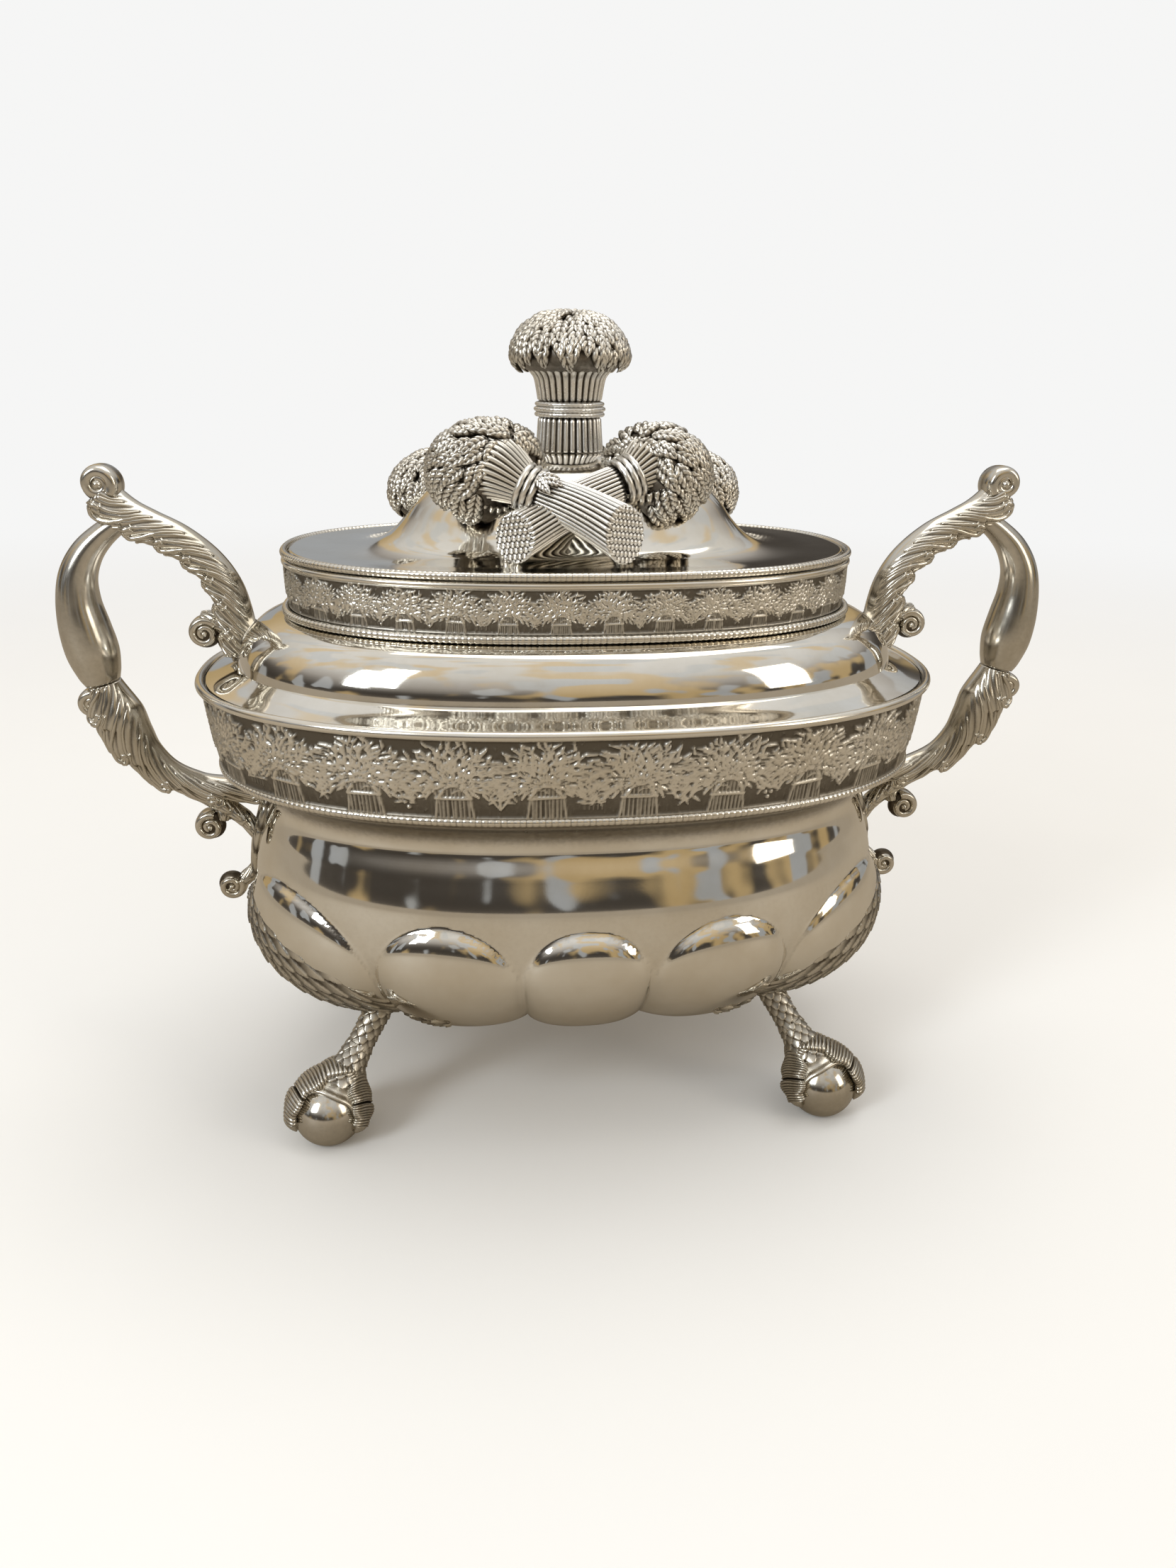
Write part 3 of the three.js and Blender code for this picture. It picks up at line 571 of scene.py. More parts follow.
def band_sheaf(pen, rng):
    """One tied sheaf with its straws, its knot and its canopy of ears over three mounds."""
    tie_y = rng.uniform(0.22, 0.28)
    for side in (-WAIST, WAIST):
        edge = [(1.1 * side, 0.02), (0.94 * side, tie_y), (1.12 * side, CROWN)]
        pen.curve(edge, 0.02, 0.02, 0.56)
    for x in np.linspace(-0.8, 0.8, 8) * WAIST:
        lean = rng.uniform(-0.01, 0.01)
        pen.stroke(1.05 * x + lean, 0, x, CROWN, 0.019, 0.016, 0.5)
    pen.stroke(-WAIST, tie_y, WAIST, tie_y + rng.uniform(-0.02, 0.02), 0.026, 0.026, 0.74)
    loop = WAIST * rng.choice([-1, 1])
    turns = np.linspace(-0.6, 4.4, 8)
    knot = [(loop * (0.35 + 0.4 * math.sin(a)), tie_y + 0.054 * (1 - math.cos(a))) for a in turns]
    pen.curve(knot, 0.02, 0.014, 0.6)
    for x, up in ((-0.3, 0.02), (0, 0.12), (0.3, 0.02)):
        pen.stroke(x, CROWN + up, x, CROWN + up, 0.36, 0.36, MOUND_RISE)
    for start, reach, count, rise in CANOPY:
        for heading in np.linspace(-1.8, 1.8, count):
            heading = heading + rng.uniform(-0.05, 0.05)
            far = reach * rng.uniform(0.88, 1.05)
            phase = rng.uniform(0, TAU)
            droop = 0.1 * max(0, abs(heading) - 0.8)
            stem = []
            for t in np.linspace(start / reach, 1, 8):
                turn = heading * (0.7 + 0.3 * t) + 0.06 * math.sin(17 * t + phase)
                lift = far * t * math.cos(turn) - droop * t * t
                stem.append((1.26 * far * t * math.sin(turn), CROWN + lift))
            pen.curve(stem, 0.012, 0.015, rise)
            pen.stroke(*stem[-3], *stem[-1], 0.03, 0.012, rise)


def band_motif(pen, kind, rng):
    """A small sprig, rake, star or bunch on the ground between two sheaves."""
    y = 0.2
    r = 0.017
    if kind == 0:
        for x in (-0.1, 0, 0.1):
            pen.stroke(0, y - 0.08, x, y + 0.07, r * 0.8, r * 1.6, MOTIF_RISE)
    elif kind == 1:
        pen.stroke(-0.13, y, 0.13, y + 0.02, r, r, MOTIF_RISE)
        for x in np.linspace(-0.1, 0.1, 5):
            pen.stroke(x, y - 0.09, x, y, r * 0.7, r * 0.7, 0.4)
    elif kind == 2:
        for a in turn_angles(5):
            pen.stroke(0, y, 0.1 * math.sin(a), y + 0.09 * math.cos(a), r * 1.4, r * 0.6, MOTIF_RISE)
    else:
        for row in range(3):
            for k in range(3 - row):
                x, berry_y = (k - (2 - row) / 2) * 0.075, y + 0.06 - row * 0.065
                pen.stroke(x, berry_y, x, berry_y, r * 1.9, r * 1.9, MOTIF_RISE)
    for _ in range(2):
        x = rng.uniform(-0.16, 0.16)
        pen.stroke(x, 0.36, x + 0.05, 0.4, r, r * 0.6, 0.35)


def rolled_band(top, bottom, back_bottom, back_top, pitch, spacing, seed):
    """A strip with sheaves rolled in relief round an oval, and its plain back."""
    top, bottom = np.array(top), np.array(bottom)
    rng = np.random.default_rng(seed)
    height = np.linalg.norm(top - bottom)
    middle = (top + bottom) / 2
    _, edge = even_angles(middle[0], middle[1], 8)
    cols = round(edge / spacing)
    rows = round(height / spacing)
    angles, edge = even_angles(middle[0], middle[1], cols)
    relief = Relief(edge, height, cols, rows)
    sheaves = round(edge / pitch)
    for k in range(sheaves * GROUND_STROKES):
        x = k / GROUND_STROKES * edge / sheaves + rng.uniform(-0.15, 0.15)
        y0 = rng.uniform(0, 0.4) * height
        y1 = y0 + rng.uniform(0.1, 0.25) * height
        relief.stroke(x, y0, x, min(y1, 0.55 * height), 0.24, 0.18, rng.uniform(0.12, 0.26))
        dash_x, dash_y = x + rng.uniform(-0.8, 0.8), rng.uniform(0.1, 0.97) * height
        lean_x, lean_y = rng.uniform(-0.05, 0.05, 2) * height
        dash_end = (dash_x + lean_x, dash_y + lean_y)
        relief.stroke(dash_x, dash_y, *dash_end, 0.3, 0.18, rng.uniform(0.12, 0.3))
    for k in range(sheaves):
        cx = (k + 0.5) * edge / sheaves
        band_motif(Pen(relief, cx + edge / sheaves / 2, height), k % 4, rng)
        band_sheaf(Pen(relief, cx, height), rng)
    face = loft(bottom + (top - bottom) * np.linspace(0, 1, rows)[:, None], angles)
    normal = grid_normals(face)
    up = np.linspace(0, height, rows)
    frame_line = 0.5 * (smoothstep(up, 0.7, 0.2) + smoothstep(up, height - 0.7, height - 0.2))
    shown = np.maximum(relief.h, frame_line[:, None])
    proud = 0.9 + 0.3 * smoothstep(height, 9, 19)
    skin = face + normal * (proud * (shown - GROUND_DEPTH))[..., None]
    back = loft([back_top, back_bottom], angles)
    part = Part()
    wear = np.vstack([0.04 + 1.2 * shown**1.5, np.full((2, cols), 0.5)])
    part.add(np.vstack([skin, back]), wear, wrap_rows=True)
    return part


# ---------------------------------------------------------------- lid

LID_DOME = [
    (74.0, 47.0, 155.0), (62.0, 38.0, 154.8), (53.0, 32.6, 155.9), (47.8, 30.0, 158.4),
    (43.8, 27.8, 162.4), (40.2, 25.8, 167.4), (35.4, 23.0, 171.9), (27.4, 19.0, 175.8),
    (16.0, 13.0, 178.4), (9.0, 9.0, 179.1),
]
LID_HOLE = 2.2


def lid_cover():
    curve = resample(spline(LID_DOME), 90)
    hole = np.array([(LID_HOLE, LID_HOLE, LID_DOME[-1][2])])
    top = np.vstack([curve, hole])
    under = resample(spline(LID_DOME), 40)
    drop = np.interp(under[:, 0], [9, 38, 46, 74], [LID_SHEET, 2.0, 1.9, LID_SHEET])
    slim = np.interp(under[:, 0], [9, 30, 40, 52, 74], [0, 1.0, 1.3, 0.4, 0])
    under = under - np.stack([slim, slim, drop], -1)
    under = np.vstack([under, hole - [0, 0, LID_SHEET]])
    profile = np.vstack([top, under[::-1]])
    power = 2 + 0.3 * smoothstep(profile[:, 0], 9, 62)
    angles = turn_angles(420)
    part = Part()
    part.add(loft(profile, angles, power), 1.0, wrap_rows=True)
    return part


def lathe(profile, cols, relief=0.0, wear=1.0, wrap_rows=False):
    """Turns (radius, height) rows about the Z axis. relief adds to each radius."""
    r, z = np.asarray(profile, float).T
    angle = turn_angles(cols)
    radius = np.broadcast_to(r[:, None], (len(r), cols)) + relief
    x, y = radius * np.cos(angle), radius * np.sin(angle)
    part = Part()
    part.add(np.stack([x, y, np.broadcast_to(z[:, None], x.shape)], -1), wear, wrap_rows)
    return part


def reeds(angle, count):
    """Round stems side by side: 0 in the groove and 1 on the crest."""
    return np.abs(np.sin(angle * count / 2)) ** 0.6


# ---------------------------------------------------------------- wheat ears


def ear_template(rows=37, across=5, ridges=5):
    """A pointed, leaf-shaped ear lying along +X with its back to +Z, 1 long and 1 wide.

    Grains slant forward in two rows from the groove down its middle.
    """
    u = np.linspace(0.004, 0.996, rows)[:, None]
    v = np.linspace(-1, 1, 2 * across + 1)[None, :]
    half = 1.25 * u**0.55 * (1 - u) ** 0.8
    line = np.abs(np.cos(math.pi * ridges * (u - 0.3 * np.abs(v)))) ** 4
    crown = np.sqrt(np.clip(1 - v**2, 0, 1))
    bulge = 0.45 * crown + 0.55 * np.sin(math.pi * np.abs(v))
    height = (2 * half) ** 0.7 * (0.3 * bulge - 0.1 * line * crown)
    top = np.stack([u + 0 * v, half * v, height], -1)
    belly = np.array([0.6, 0.0, -0.6])[None, :]
    low = np.stack([u + 0 * belly, half * belly, -0.3 * half + 0 * belly], -1)
    groove = np.exp(-((v / 0.12) ** 2))
    # The grain lines and the groove are darker, and each ear's edges and underside are painted dark:
    # painted shade where the ears overlap.
    wear_top = (1 - 0.9 * line) * (1 - 0.85 * groove) * (1 - 0.97 * v**4)
    wear = np.hstack([wear_top, np.zeros((rows, 3))])
    return np.concatenate([top, low], 1), wear


EAR, EAR_WEAR_AND_SHADE = ear_template()
ROOT_OVERLAP = 2.2


def golden_turns(count):
    """Places and angles of a spiral that spreads count things evenly."""
    k = np.arange(count) + 0.5
    return k / count, k * math.pi * (3 - math.sqrt(5))


def hang_ears(part, surface, starts, turns, length, width, lift, rng):
    """Lays ears that follow a domed surface down from its crown.

    surface gives points, normals and the distance from the crown's axis for a distance
    down from the crown and an angle round it. starts and turns place the ears' roots.
    """
    for start, turn in zip(starts - ROOT_OVERLAP, turns):
        long = length * rng.uniform(0.9, 1.12)
        wide = width * rng.uniform(0.9, 1.1)
        swing = rng.uniform(-0.3, 0.3)
        down = start + EAR[..., 0] * long
        _, _, reach = surface(down, turn + 0 * down)
        across = EAR[..., 1] * wide + swing * EAR[..., 0] * long
        spot, out, _ = surface(down, turn + across / np.maximum(np.abs(reach), 2.0))
        height = EAR[..., 2] * wide + lift * EAR[..., 0] * long
        part.add(spot + out * height[..., None], EAR_WEAR_AND_SHADE)


def lay_ears(part, spots, heads, out, length, width, lift, curl, rng):
    """Lays ears with their backs to out. spots are their roots, heads point to their tips."""
    front = unit(out)
    for spot, head in zip(spots, heads):
        swing = rng.uniform(-0.16, 0.16)
        long = length * rng.uniform(0.9, 1.12)
        wide = width * rng.uniform(0.9, 1.1)
        head = unit(head - front * (head * front).sum())
        head = head * math.cos(swing) + np.cross(front, head) * math.sin(swing)
        side = np.cross(front, head)
        head = unit(head + front * lift)
        out = np.cross(head, side)
        shape = EAR * [long, wide, wide]
        bend = curl * shape[..., 0:1] ** 2 / long
        grid = spot + shape[..., 0:1] * head + shape[..., 1:2] * side
        grid = grid + (shape[..., 2:3] - bend) * out
        part.add(grid, EAR_WEAR_AND_SHADE)


# ---------------------------------------------------------------- finial

FINIAL_DOME = [
    (0.02, 212.6), (3.6, 212.4), (8.0, 211.2), (11.7, 208.4), (13.7, 205.2), (14.1, 202.4), (12.6, 200.2),
]
FINIAL_UNDER = [(12.6, 200.2), (11.0, 199.3), (9.4, 198.9), (0.02, 198.8)]
# How far down from the crown the last ear starts, how many ears there are, and their
# length, width and lift at the tip.
FINIAL_LAST_ROOT = 18.3
FINIAL_EARS = 98
FINIAL_EAR = (7.2, 4.4, 0.16)


def finial_ears():
    rng = np.random.default_rng(11)
    dome = spline(FINIAL_DOME)
    profile = np.vstack([resample(dome, 40)[:-1], resample(spline(FINIAL_UNDER), 16)])
    part = lathe(profile[::-1], 120, wear=0.25)
    line = resample(np.vstack([dome, FINIAL_UNDER[1:]]), 300)
    along = length_along(line)
    slope = unit(np.gradient(line, axis=0))

    def surface(down, turn):
        r, z, slope_r, slope_z = (
            np.interp(np.abs(down), along, column) for column in (*line.T, *slope.T)
        )
        # A negative distance lies past the crown, on the other side of the axis.
        c, s = np.cos(turn) * np.sign(down), np.sin(turn) * np.sign(down)
        spot = np.stack([r * c, r * s, z], -1)
        return spot, np.stack([-slope_z * c, -slope_z * s, slope_r], -1), r

    area = np.concatenate([[0], np.cumsum(line[1:, 0] * np.diff(along))])
    share, spin = golden_turns(FINIAL_EARS)
    start = np.interp(share * np.interp(FINIAL_LAST_ROOT, along, area), area, along)
    hang_ears(part, surface, start, spin, *FINIAL_EAR, rng)
    return part


def finial_stalks():
    body = [(8.9, 179.4), (8.6, 183.0), (8.3, 187.4)]
    waist = [(7.6, 188.0), (7.6, 191.6)]
    flare = [(8.4, 192.2), (8.9, 195.2), (9.5, 197.6), (11.0, 199.4)]
    profile = np.vstack(
        [
            [(2.2, 184.6), (2.2, 179.45)], resample(spline(body), 12), waist,
            resample(spline(flare), 14), [(0.02, 199.4), (0.02, 184.6)],
        ]
    )
    cols = STRAWS_ROUND * 12
    angle = turn_angles(cols)
    crest = reeds(angle, STRAWS_ROUND)
    outer = (profile[:, 0] > 5)[:, None]
    depth = 0.95 * outer
    wear = np.where(outer, crest[None, :] ** 2, 0.4)
    return lathe(profile, cols, -depth * (1 - crest)[None, :], wear)


def finial_tie():
    rings = [(8.2, 187.9)]
    for centre, half, reach in ((188.55, 0.62, 9.2), (189.85, 0.62, 9.4), (191.1, 0.58, 9.1)):
        for a in np.linspace(-1.4, 1.4, 9):
            rings.append((reach - 0.75 + 0.75 * math.cos(a), centre + half * math.sin(a)))
    rings += [(8.2, 191.75)]
    profile = np.vstack([rings, [(7.5, 191.7), (7.5, 187.95)]])
    r, z = profile.T[..., None]
    twist = 0.5 + 0.5 * np.cos(48 * turn_angles(240) + (z - 188) * 3.2)
    wear = np.clip((r - 8.1) / 1.1, 0.1, 1) * (0.75 + 0.25 * twist)
    return lathe(profile, 240, -0.08 * (1 - twist) * (r > 8.3), wear, wrap_rows=True)


def nut_and_stud():
    end = [(0.02, 171.5), (1.5, 171.5), (1.9, 171.9)]
    stud = lathe(end + [(1.9, 184.1), (1.7, 184.3), (0.02, 184.3)], 32)
    low, high = box_mm("finial_nut")
    across, z0, z1 = (high[0] - low[0]) / 2, low[2], high[2]
    cols, hole, chamfer = 96, 2.15, 0.35
    angle = turn_angles(cols)
    flat = math.cos(math.pi / 6) / np.cos((angle + math.pi / 6) % (math.pi / 3) - math.pi / 6)
    hexagon = [(0.9, z0), (1.0, z0 + chamfer), (1.0, z1 - chamfer), (0.9, z1)]
    bore = np.full(cols, hole)
    rims = [bore] + [np.minimum(across * size * flat, across * 0.98) for size, _ in hexagon] + [bore]
    heights = [(0.0, z) for z in (z0, *(z for _, z in hexagon), z1)]
    return stud, lathe(heights, cols, np.array(rims), 0.8, wrap_rows=True)


# ---------------------------------------------------------------- lying sheaves

# Butt, tie, neck and head centre of each lying sheaf, and the head's half sizes.
SHEAVES = {
    "front_left": (
        (10, -38.2, 162.6), (-12.2, -30, 172.6), (-19.5, -25, 176.5), (-22, -21, 175.5),
        (16.2, 12, 13.4),
    ),
    "front_right": (
        (-16.4, -34.2, 161.4), (12, -25.2, 174.4), (17.5, -21.5, 177), (19.5, -19.5, 174.5),
        (15.4, 12, 13.4),
    ),
    "rear_right": (
        (-10, 38.2, 162.6), (12.2, 30, 172.6), (26, 22, 172), (35, 16, 167), (15, 13, 11.8),
    ),
    "rear_left": (
        (16.4, 34.2, 161.4), (-12, 25.2, 174.4), (-25, 21, 172), (-34, 16, 167), (15, 13, 11.8),
    ),
}
BUTT_RADIUS = 6.9
SLIM_BUTT_RADIUS = 6.0
TIE_RADIUS = 4.9
CUT_LEAN = 0.5
CORD_OFFSETS = (-1.75, 0.0, 1.75)
CORD_RADIUS = 0.78
# The loose sprig's ears: length, width, lift and curl.
SPRIG_EAR = (5.6, 2.9, 0.16, 0.12)
# The head of a sheaf: the share of its size that its core takes, the number of ears, how
# far round from the crest they start in degrees, and their length, width and lift.
CORE_SHARE = 0.86
HEAD_EARS = 120
HEAD_SPREAD = 128
HEAD_EAR = (7.4, 4.8, 0.19)
STRAW_PITCH = 1.7
STRAWS_ROUND = 30


def straw_ends(x, y):
    """Height of the cut straws packed over a sheaf's end, and their patina and painted shade value, dark
    round each straw's rim.
    """
    best = np.full(np.shape(x), 9.0)
    for shift in (0, 0.5):
        row = np.round(y / (STRAW_PITCH * math.sqrt(3)) - shift) + shift
        cx = (np.round(x / STRAW_PITCH - shift) + shift) * STRAW_PITCH
        cy = row * STRAW_PITCH * math.sqrt(3)
        best = np.minimum(best, np.hypot(x - cx, y - cy))
    dome = np.sqrt(np.clip(1 - (best / (0.53 * STRAW_PITCH)) ** 2, 0, 1))
    return 0.8 * dome, smoothstep(dome, 0.35, 0.8)


def sheaf_stalks(butt, tie, butt_radius):
    butt, tie = np.array(butt, float), np.array(tie, float)
    end = butt + (tie - butt) * 0.9
    t = np.linspace(0, 1, 26)[:, None]
    path = butt + (end - butt) * t
    path[:, 2] += 0.7 * np.sin(math.pi * t[:, 0])
    radius = butt_radius + (TIE_RADIUS - butt_radius) * t[:, 0] ** 0.8
    cols = STRAWS_ROUND * 10
    centre, out, angle = tube(path, radius, radius, cols, (0, 0, 1))
    crest = reeds(angle, STRAWS_ROUND)
    grid = centre + out * (1 - 0.13 * (1 - crest))[None, :, None]
    wear = np.broadcast_to(crest**2, (26, cols))
    axis = unit(tie - butt)
    # The end is cut aslant, so that it turns towards whoever stands in front.
    cut = unit(-axis + CUT_LEAN * np.array([0, np.sign(butt[1]), 0.6]))
    slide = -((grid[0] - butt) @ cut) / (axis @ cut)
    hold = (1 - np.linspace(0, 1, 26)) ** 1.5
    grid = grid + hold[:, None, None] * slide[None, :, None] * axis
    first = grid[0] - butt
    cap, cap_wear = [], []
    for share in np.linspace(0.012, 1, 40):
        flat = first * share
        east = unit(first[0])
        sx, sy = flat @ east, flat @ np.cross(cut, east)
        rise, worn_and_shaded = straw_ends(sx, sy)
        rise = rise * (share < 0.97)
        cap.append(butt + flat + cut * rise[:, None])
        cap_wear.append(worn_and_shaded if share < 0.97 else np.full(cols, 0.7))
    grid = np.vstack([np.array(cap), grid[1:]])
    part = Part()
    part.add(grid, np.vstack([np.array(cap_wear), wear[1:]]))
    return part


def sheaf_tie(butt, tie, sprig):
    """Three twisted cords round the stalks, with a loose sprig on the front one."""
    butt, tie = np.array(butt, float), np.array(tie, float)
    axis = unit(tie - butt)
    part = Part()
    for offset in CORD_OFFSETS:
        centre = tie + axis * offset
        up = unit(np.array([0, 0, 1.0]) - axis * axis[2])
        side = np.cross(axis, up)
        angle = turn_angles(140)
        reach = TIE_RADIUS + 0.25
        ring = np.cos(angle)[:, None] * up + np.sin(angle)[:, None] * side
        turn = turn_angles(14)
        strand = 0.5 + 0.5 * np.cos(2 * turn[:, None] + 12 * angle[None, :])
        size = CORD_RADIUS + 0.06 * strand
        grid = (
            centre
            + ring[None] * (reach + size * np.cos(turn)[:, None])[..., None]
            + axis * (size * np.sin(turn)[:, None])[..., None]
        )
        part.add(grid, 0.6 * np.cos(turn)[:, None] + 0.4 * strand, wrap_rows=True)
    if sprig:
        rng = np.random.default_rng(3)
        front = unit(np.array([0, -0.75, 0.65]) - axis * (axis @ np.array([0, -0.75, 0.65])))
        root = tie - axis * 1.5 + front * (TIE_RADIUS + 1.0)
        turned = np.cross(front, axis)
        heads = [-axis * 0.9 + turned * k for k in (-0.55, -0.1, 0.4)]
        spots = [root, root - axis * 1.2, root + turned * 0.8]
        lay_ears(part, spots, heads, front, *SPRIG_EAR, rng)
    return part


def sheaf_ears(tie, neck, head, size, seed):
    tie, neck, head, size = (np.array(v, float) for v in (tie, neck, head, size))
    rng = np.random.default_rng(seed)
    part = Part()
    to_tie = unit(tie - head)
    start = tie + (neck - tie) * 0.12
    path = resample(spline([start, neck, neck + (head - neck) * 0.8]), 22)
    t = np.linspace(0, 1, 22)
    radius = 5.1 + 5.3 * t**1.15
    centre, out, angle = tube(path, radius, radius, STRAWS_ROUND * 10, (0, 0, 1))
    crest = reeds(angle, STRAWS_ROUND)
    fluted = centre + out * (1 - 0.12 * (1 - crest))[None, :, None]
    part.add(fluted, np.broadcast_to(crest**2, fluted.shape[:2]))
    core = size * CORE_SHARE
    ball = sphere(24, 48, 0.02, math.pi - 0.02)

    def drawn_in(ray):
        """The core's size in each direction: smaller where the reeds come in."""
        return core * (1 - 0.3 * smoothstep(ray @ to_tie, 0.35, 0.9))[..., None]

    part.add(head + ball * drawn_in(ball), 0.2)
    # The ears hang away from a crest that lies above the tie.
    pole = unit(0.5 * to_tie + np.array([0, 0.12 * np.sign(head[1]), 0.9]))
    east = unit(np.cross(pole, [0.3, 1.0, 0.1]))
    north = np.cross(pole, east)
    girth = size.mean()

    def surface(down, turn):
        polar = (down / girth)[..., None]
        around = np.cos(turn)[..., None] * east + np.sin(turn)[..., None] * north
        ray = np.cos(polar) * pole + np.sin(polar) * around
        return head + ray * drawn_in(ray), unit(ray / size), girth * np.sin(polar[..., 0])

    share, phi = golden_turns(HEAD_EARS)
    polar = np.arccos(1 - share * (1 - math.cos(math.radians(HEAD_SPREAD))))
    ray = unit((surface(polar * girth, phi)[0] - head) / core)
    in_reeds = (ray @ to_tie > 0.6) & (ray[:, 2] < 0.5)
    kept = ~in_reeds & (ray[:, 2] > -0.8)
    hang_ears(part, surface, polar[kept] * girth, phi[kept], *HEAD_EAR, rng)
    return part


# ---------------------------------------------------------------- handles


def limb(stations, rows, cols, relief):
    """A limb of the right handle through (x, z, in-plane radius, side radius)."""
    curve = resample(spline(stations, 16), rows)
    path = np.stack([curve[:, 0], 0 * curve[:, 0], curve[:, 1]], -1)
    centre, out, angle = tube(path, curve[:, 2], curve[:, 3], cols, (0, 1, 0))
    along = length_along(path)[:, None] / length_along(path)[-1]
    rise, wear = relief(along, angle[None, :])
    grid = centre + out + unit(out) * rise[..., None]
    return grid, np.broadcast_to(wear, grid.shape[:2])


def acanthus(count, depth, leafy_side):
    """Leaf lobes along the leafy edge of a limb, with fine veins swept down to them."""

    def relief(along, angle):
        off = np.abs((angle - leafy_side + math.pi) % TAU - math.pi)
        cell = (along * count + 0.35 - 0.3 * off) % 1
        lobe = cell**0.6 * smoothstep(cell, 1.0, 0.86)
        at_edge = 1 - smoothstep(off, 0.7, 1.8)
        spine = smoothstep(off, 2.1, 2.6)
        vein = np.abs(np.sin(math.pi * 3 * (along * count + 0.9 * off)))
        rise = depth * (lobe - 0.5) * at_edge + 0.35 * (vein - 0.5) * (1 - spine)
        wear = 0.2 + 0.5 * vein + 0.3 * lobe * at_edge
        return rise, np.maximum(wear, 0.95 * spine)

    return relief


# Stems on a leafy limb: rows of millimetres along from a lobe's tip, millimetres round
# from the leafy edge, and radius. The first one ends in a curl.
LEAF_STEMS = [
    [(-11, 11, 0.3), (-5.5, 7.4, 0.5), (-1.6, 4.0, 0.65), (0.6, 2.9, 0.75), (2.0, 3.5, 0.75),
     (2.3, 4.8, 0.65), (1.3, 5.6, 0.55), (0.4, 5.0, 0.4)],
    [(-8, 11, 0.25), (-3.6, 8.2, 0.4), (0.2, 6.4, 0.45), (1.6, 6.6, 0.3)],
    [(-8.5, 7.0, 0.25), (-4.6, 4.2, 0.4), (-1.8, 1.8, 0.55), (-0.6, 0.4, 0.5)],
]


def leaf_stems(part, grid, count, leafy_side, girth, stretch):
    """Raised stems laid over both faces of a limb, one set for each lobe."""
    rows, cols = grid.shape[:2]
    middle = grid.mean(1)
    length = length_along(middle)[-1]
    for lobe in range(count + 1):
        for stem in LEAF_STEMS:
            step = spline(stem, 6) * [stretch, 1, 1]
            s = (lobe + 0.55) / count + step[:, 0] / length
            if s.min() < 0 or s.max() > 1:
                step = step[(s >= 0) & (s <= 1)]
                s = s[(s >= 0) & (s <= 1)]
            if len(s) < 4:
                continue
            for side in (-1, 1):
                turn = (leafy_side + side * step[:, 1] / girth) / TAU % 1 * cols
                low = np.floor(turn).astype(int)
                mix = (turn - low)[:, None]
                row = s * (rows - 1)
                ring = np.floor(row).astype(int)
                point = grid[ring, low % cols] * (1 - mix) + grid[ring, (low + 1) % cols] * mix
                out = unit(point - middle[ring])
                centre, skin, _ = tube(point, step[:, 2], step[:, 2], 10, out)
                part.add(centre + skin, 1.0)


def plain_limb(along, angle):
    return 0 * along * angle, 1.0 + 0 * along * angle


def scroll(part, cx, cz, radius, half_width, turns, start, direction, thick):
    """A strip rolled into a spiral round a small drum, seen from the side."""
    t = np.linspace(0, 1, int(60 * turns))
    angle = start + direction * TAU * turns * t
    reach = (radius - thick) * (1 - t) ** 1.05 + thick * 0.75 * t
    path = np.stack([cx + reach * np.cos(angle), 0 * t, cz + reach * np.sin(angle)], -1)
    slim = thick * (1 - 0.35 * t)
    wide = half_width * (1 - 0.12 * t)
    cols = 28
    turn = turn_angles(cols)
    side = np.array([0, 1.0, 0])
    across = np.cross(side, unit(np.gradient(path, axis=0)))
    c, s = np.cos(turn), np.sin(turn)
    square_c, square_s = np.sign(c) * np.abs(c) ** 0.7, np.sign(s) * np.abs(s) ** 0.7
    thin_way = across[:, None] * (square_c[None] * slim[:, None])[..., None]
    wide_way = side * (square_s[None] * wide[:, None])[..., None]
    part.add_rounded(path[:, None] + thin_way + wide_way, 0.35 + 0.65 * np.abs(square_s)[None])
    ball = sphere(12, cols, 0.03, math.pi - 0.03)[..., [0, 2, 1]]
    for reach, width, wear in ((thick * 1.05, 1.04, 0.9), (radius * 0.85, 0.8, 0.1)):
        part.add(ball * [reach, half_width * width, reach] + [cx, 0, cz], wear)


def leaf_strip(part, stations, rows, lobes):
    """A leaf laid along a path of (x, z, half thickness, half width) with lobed edges."""
    curve = resample(spline(stations, 16), rows)
    path = np.stack([curve[:, 0], 0 * curve[:, 0], curve[:, 1]], -1)
    phase = np.linspace(0, 1, rows)[:, None] * lobes
    saw = phase - np.floor(phase)
    edge = 1 - 0.2 * (1 - saw**0.5 * smoothstep(saw, 1, 0.88))
    centre, out, angle = tube(path, curve[:, 2], curve[:, 3] * edge[:, 0], 72, (0, 1, 0))
    ridge = np.abs(np.cos(math.pi * (1.5 * phase - 2.6 * np.abs(np.sin(angle)[None]))))
    height = 0.5 * ridge * np.abs(np.cos(angle))[None] ** 0.5
    part.add_rounded(centre + out + unit(out) * height[..., None], 0.3 + 0.7 * ridge, rim=1.0)


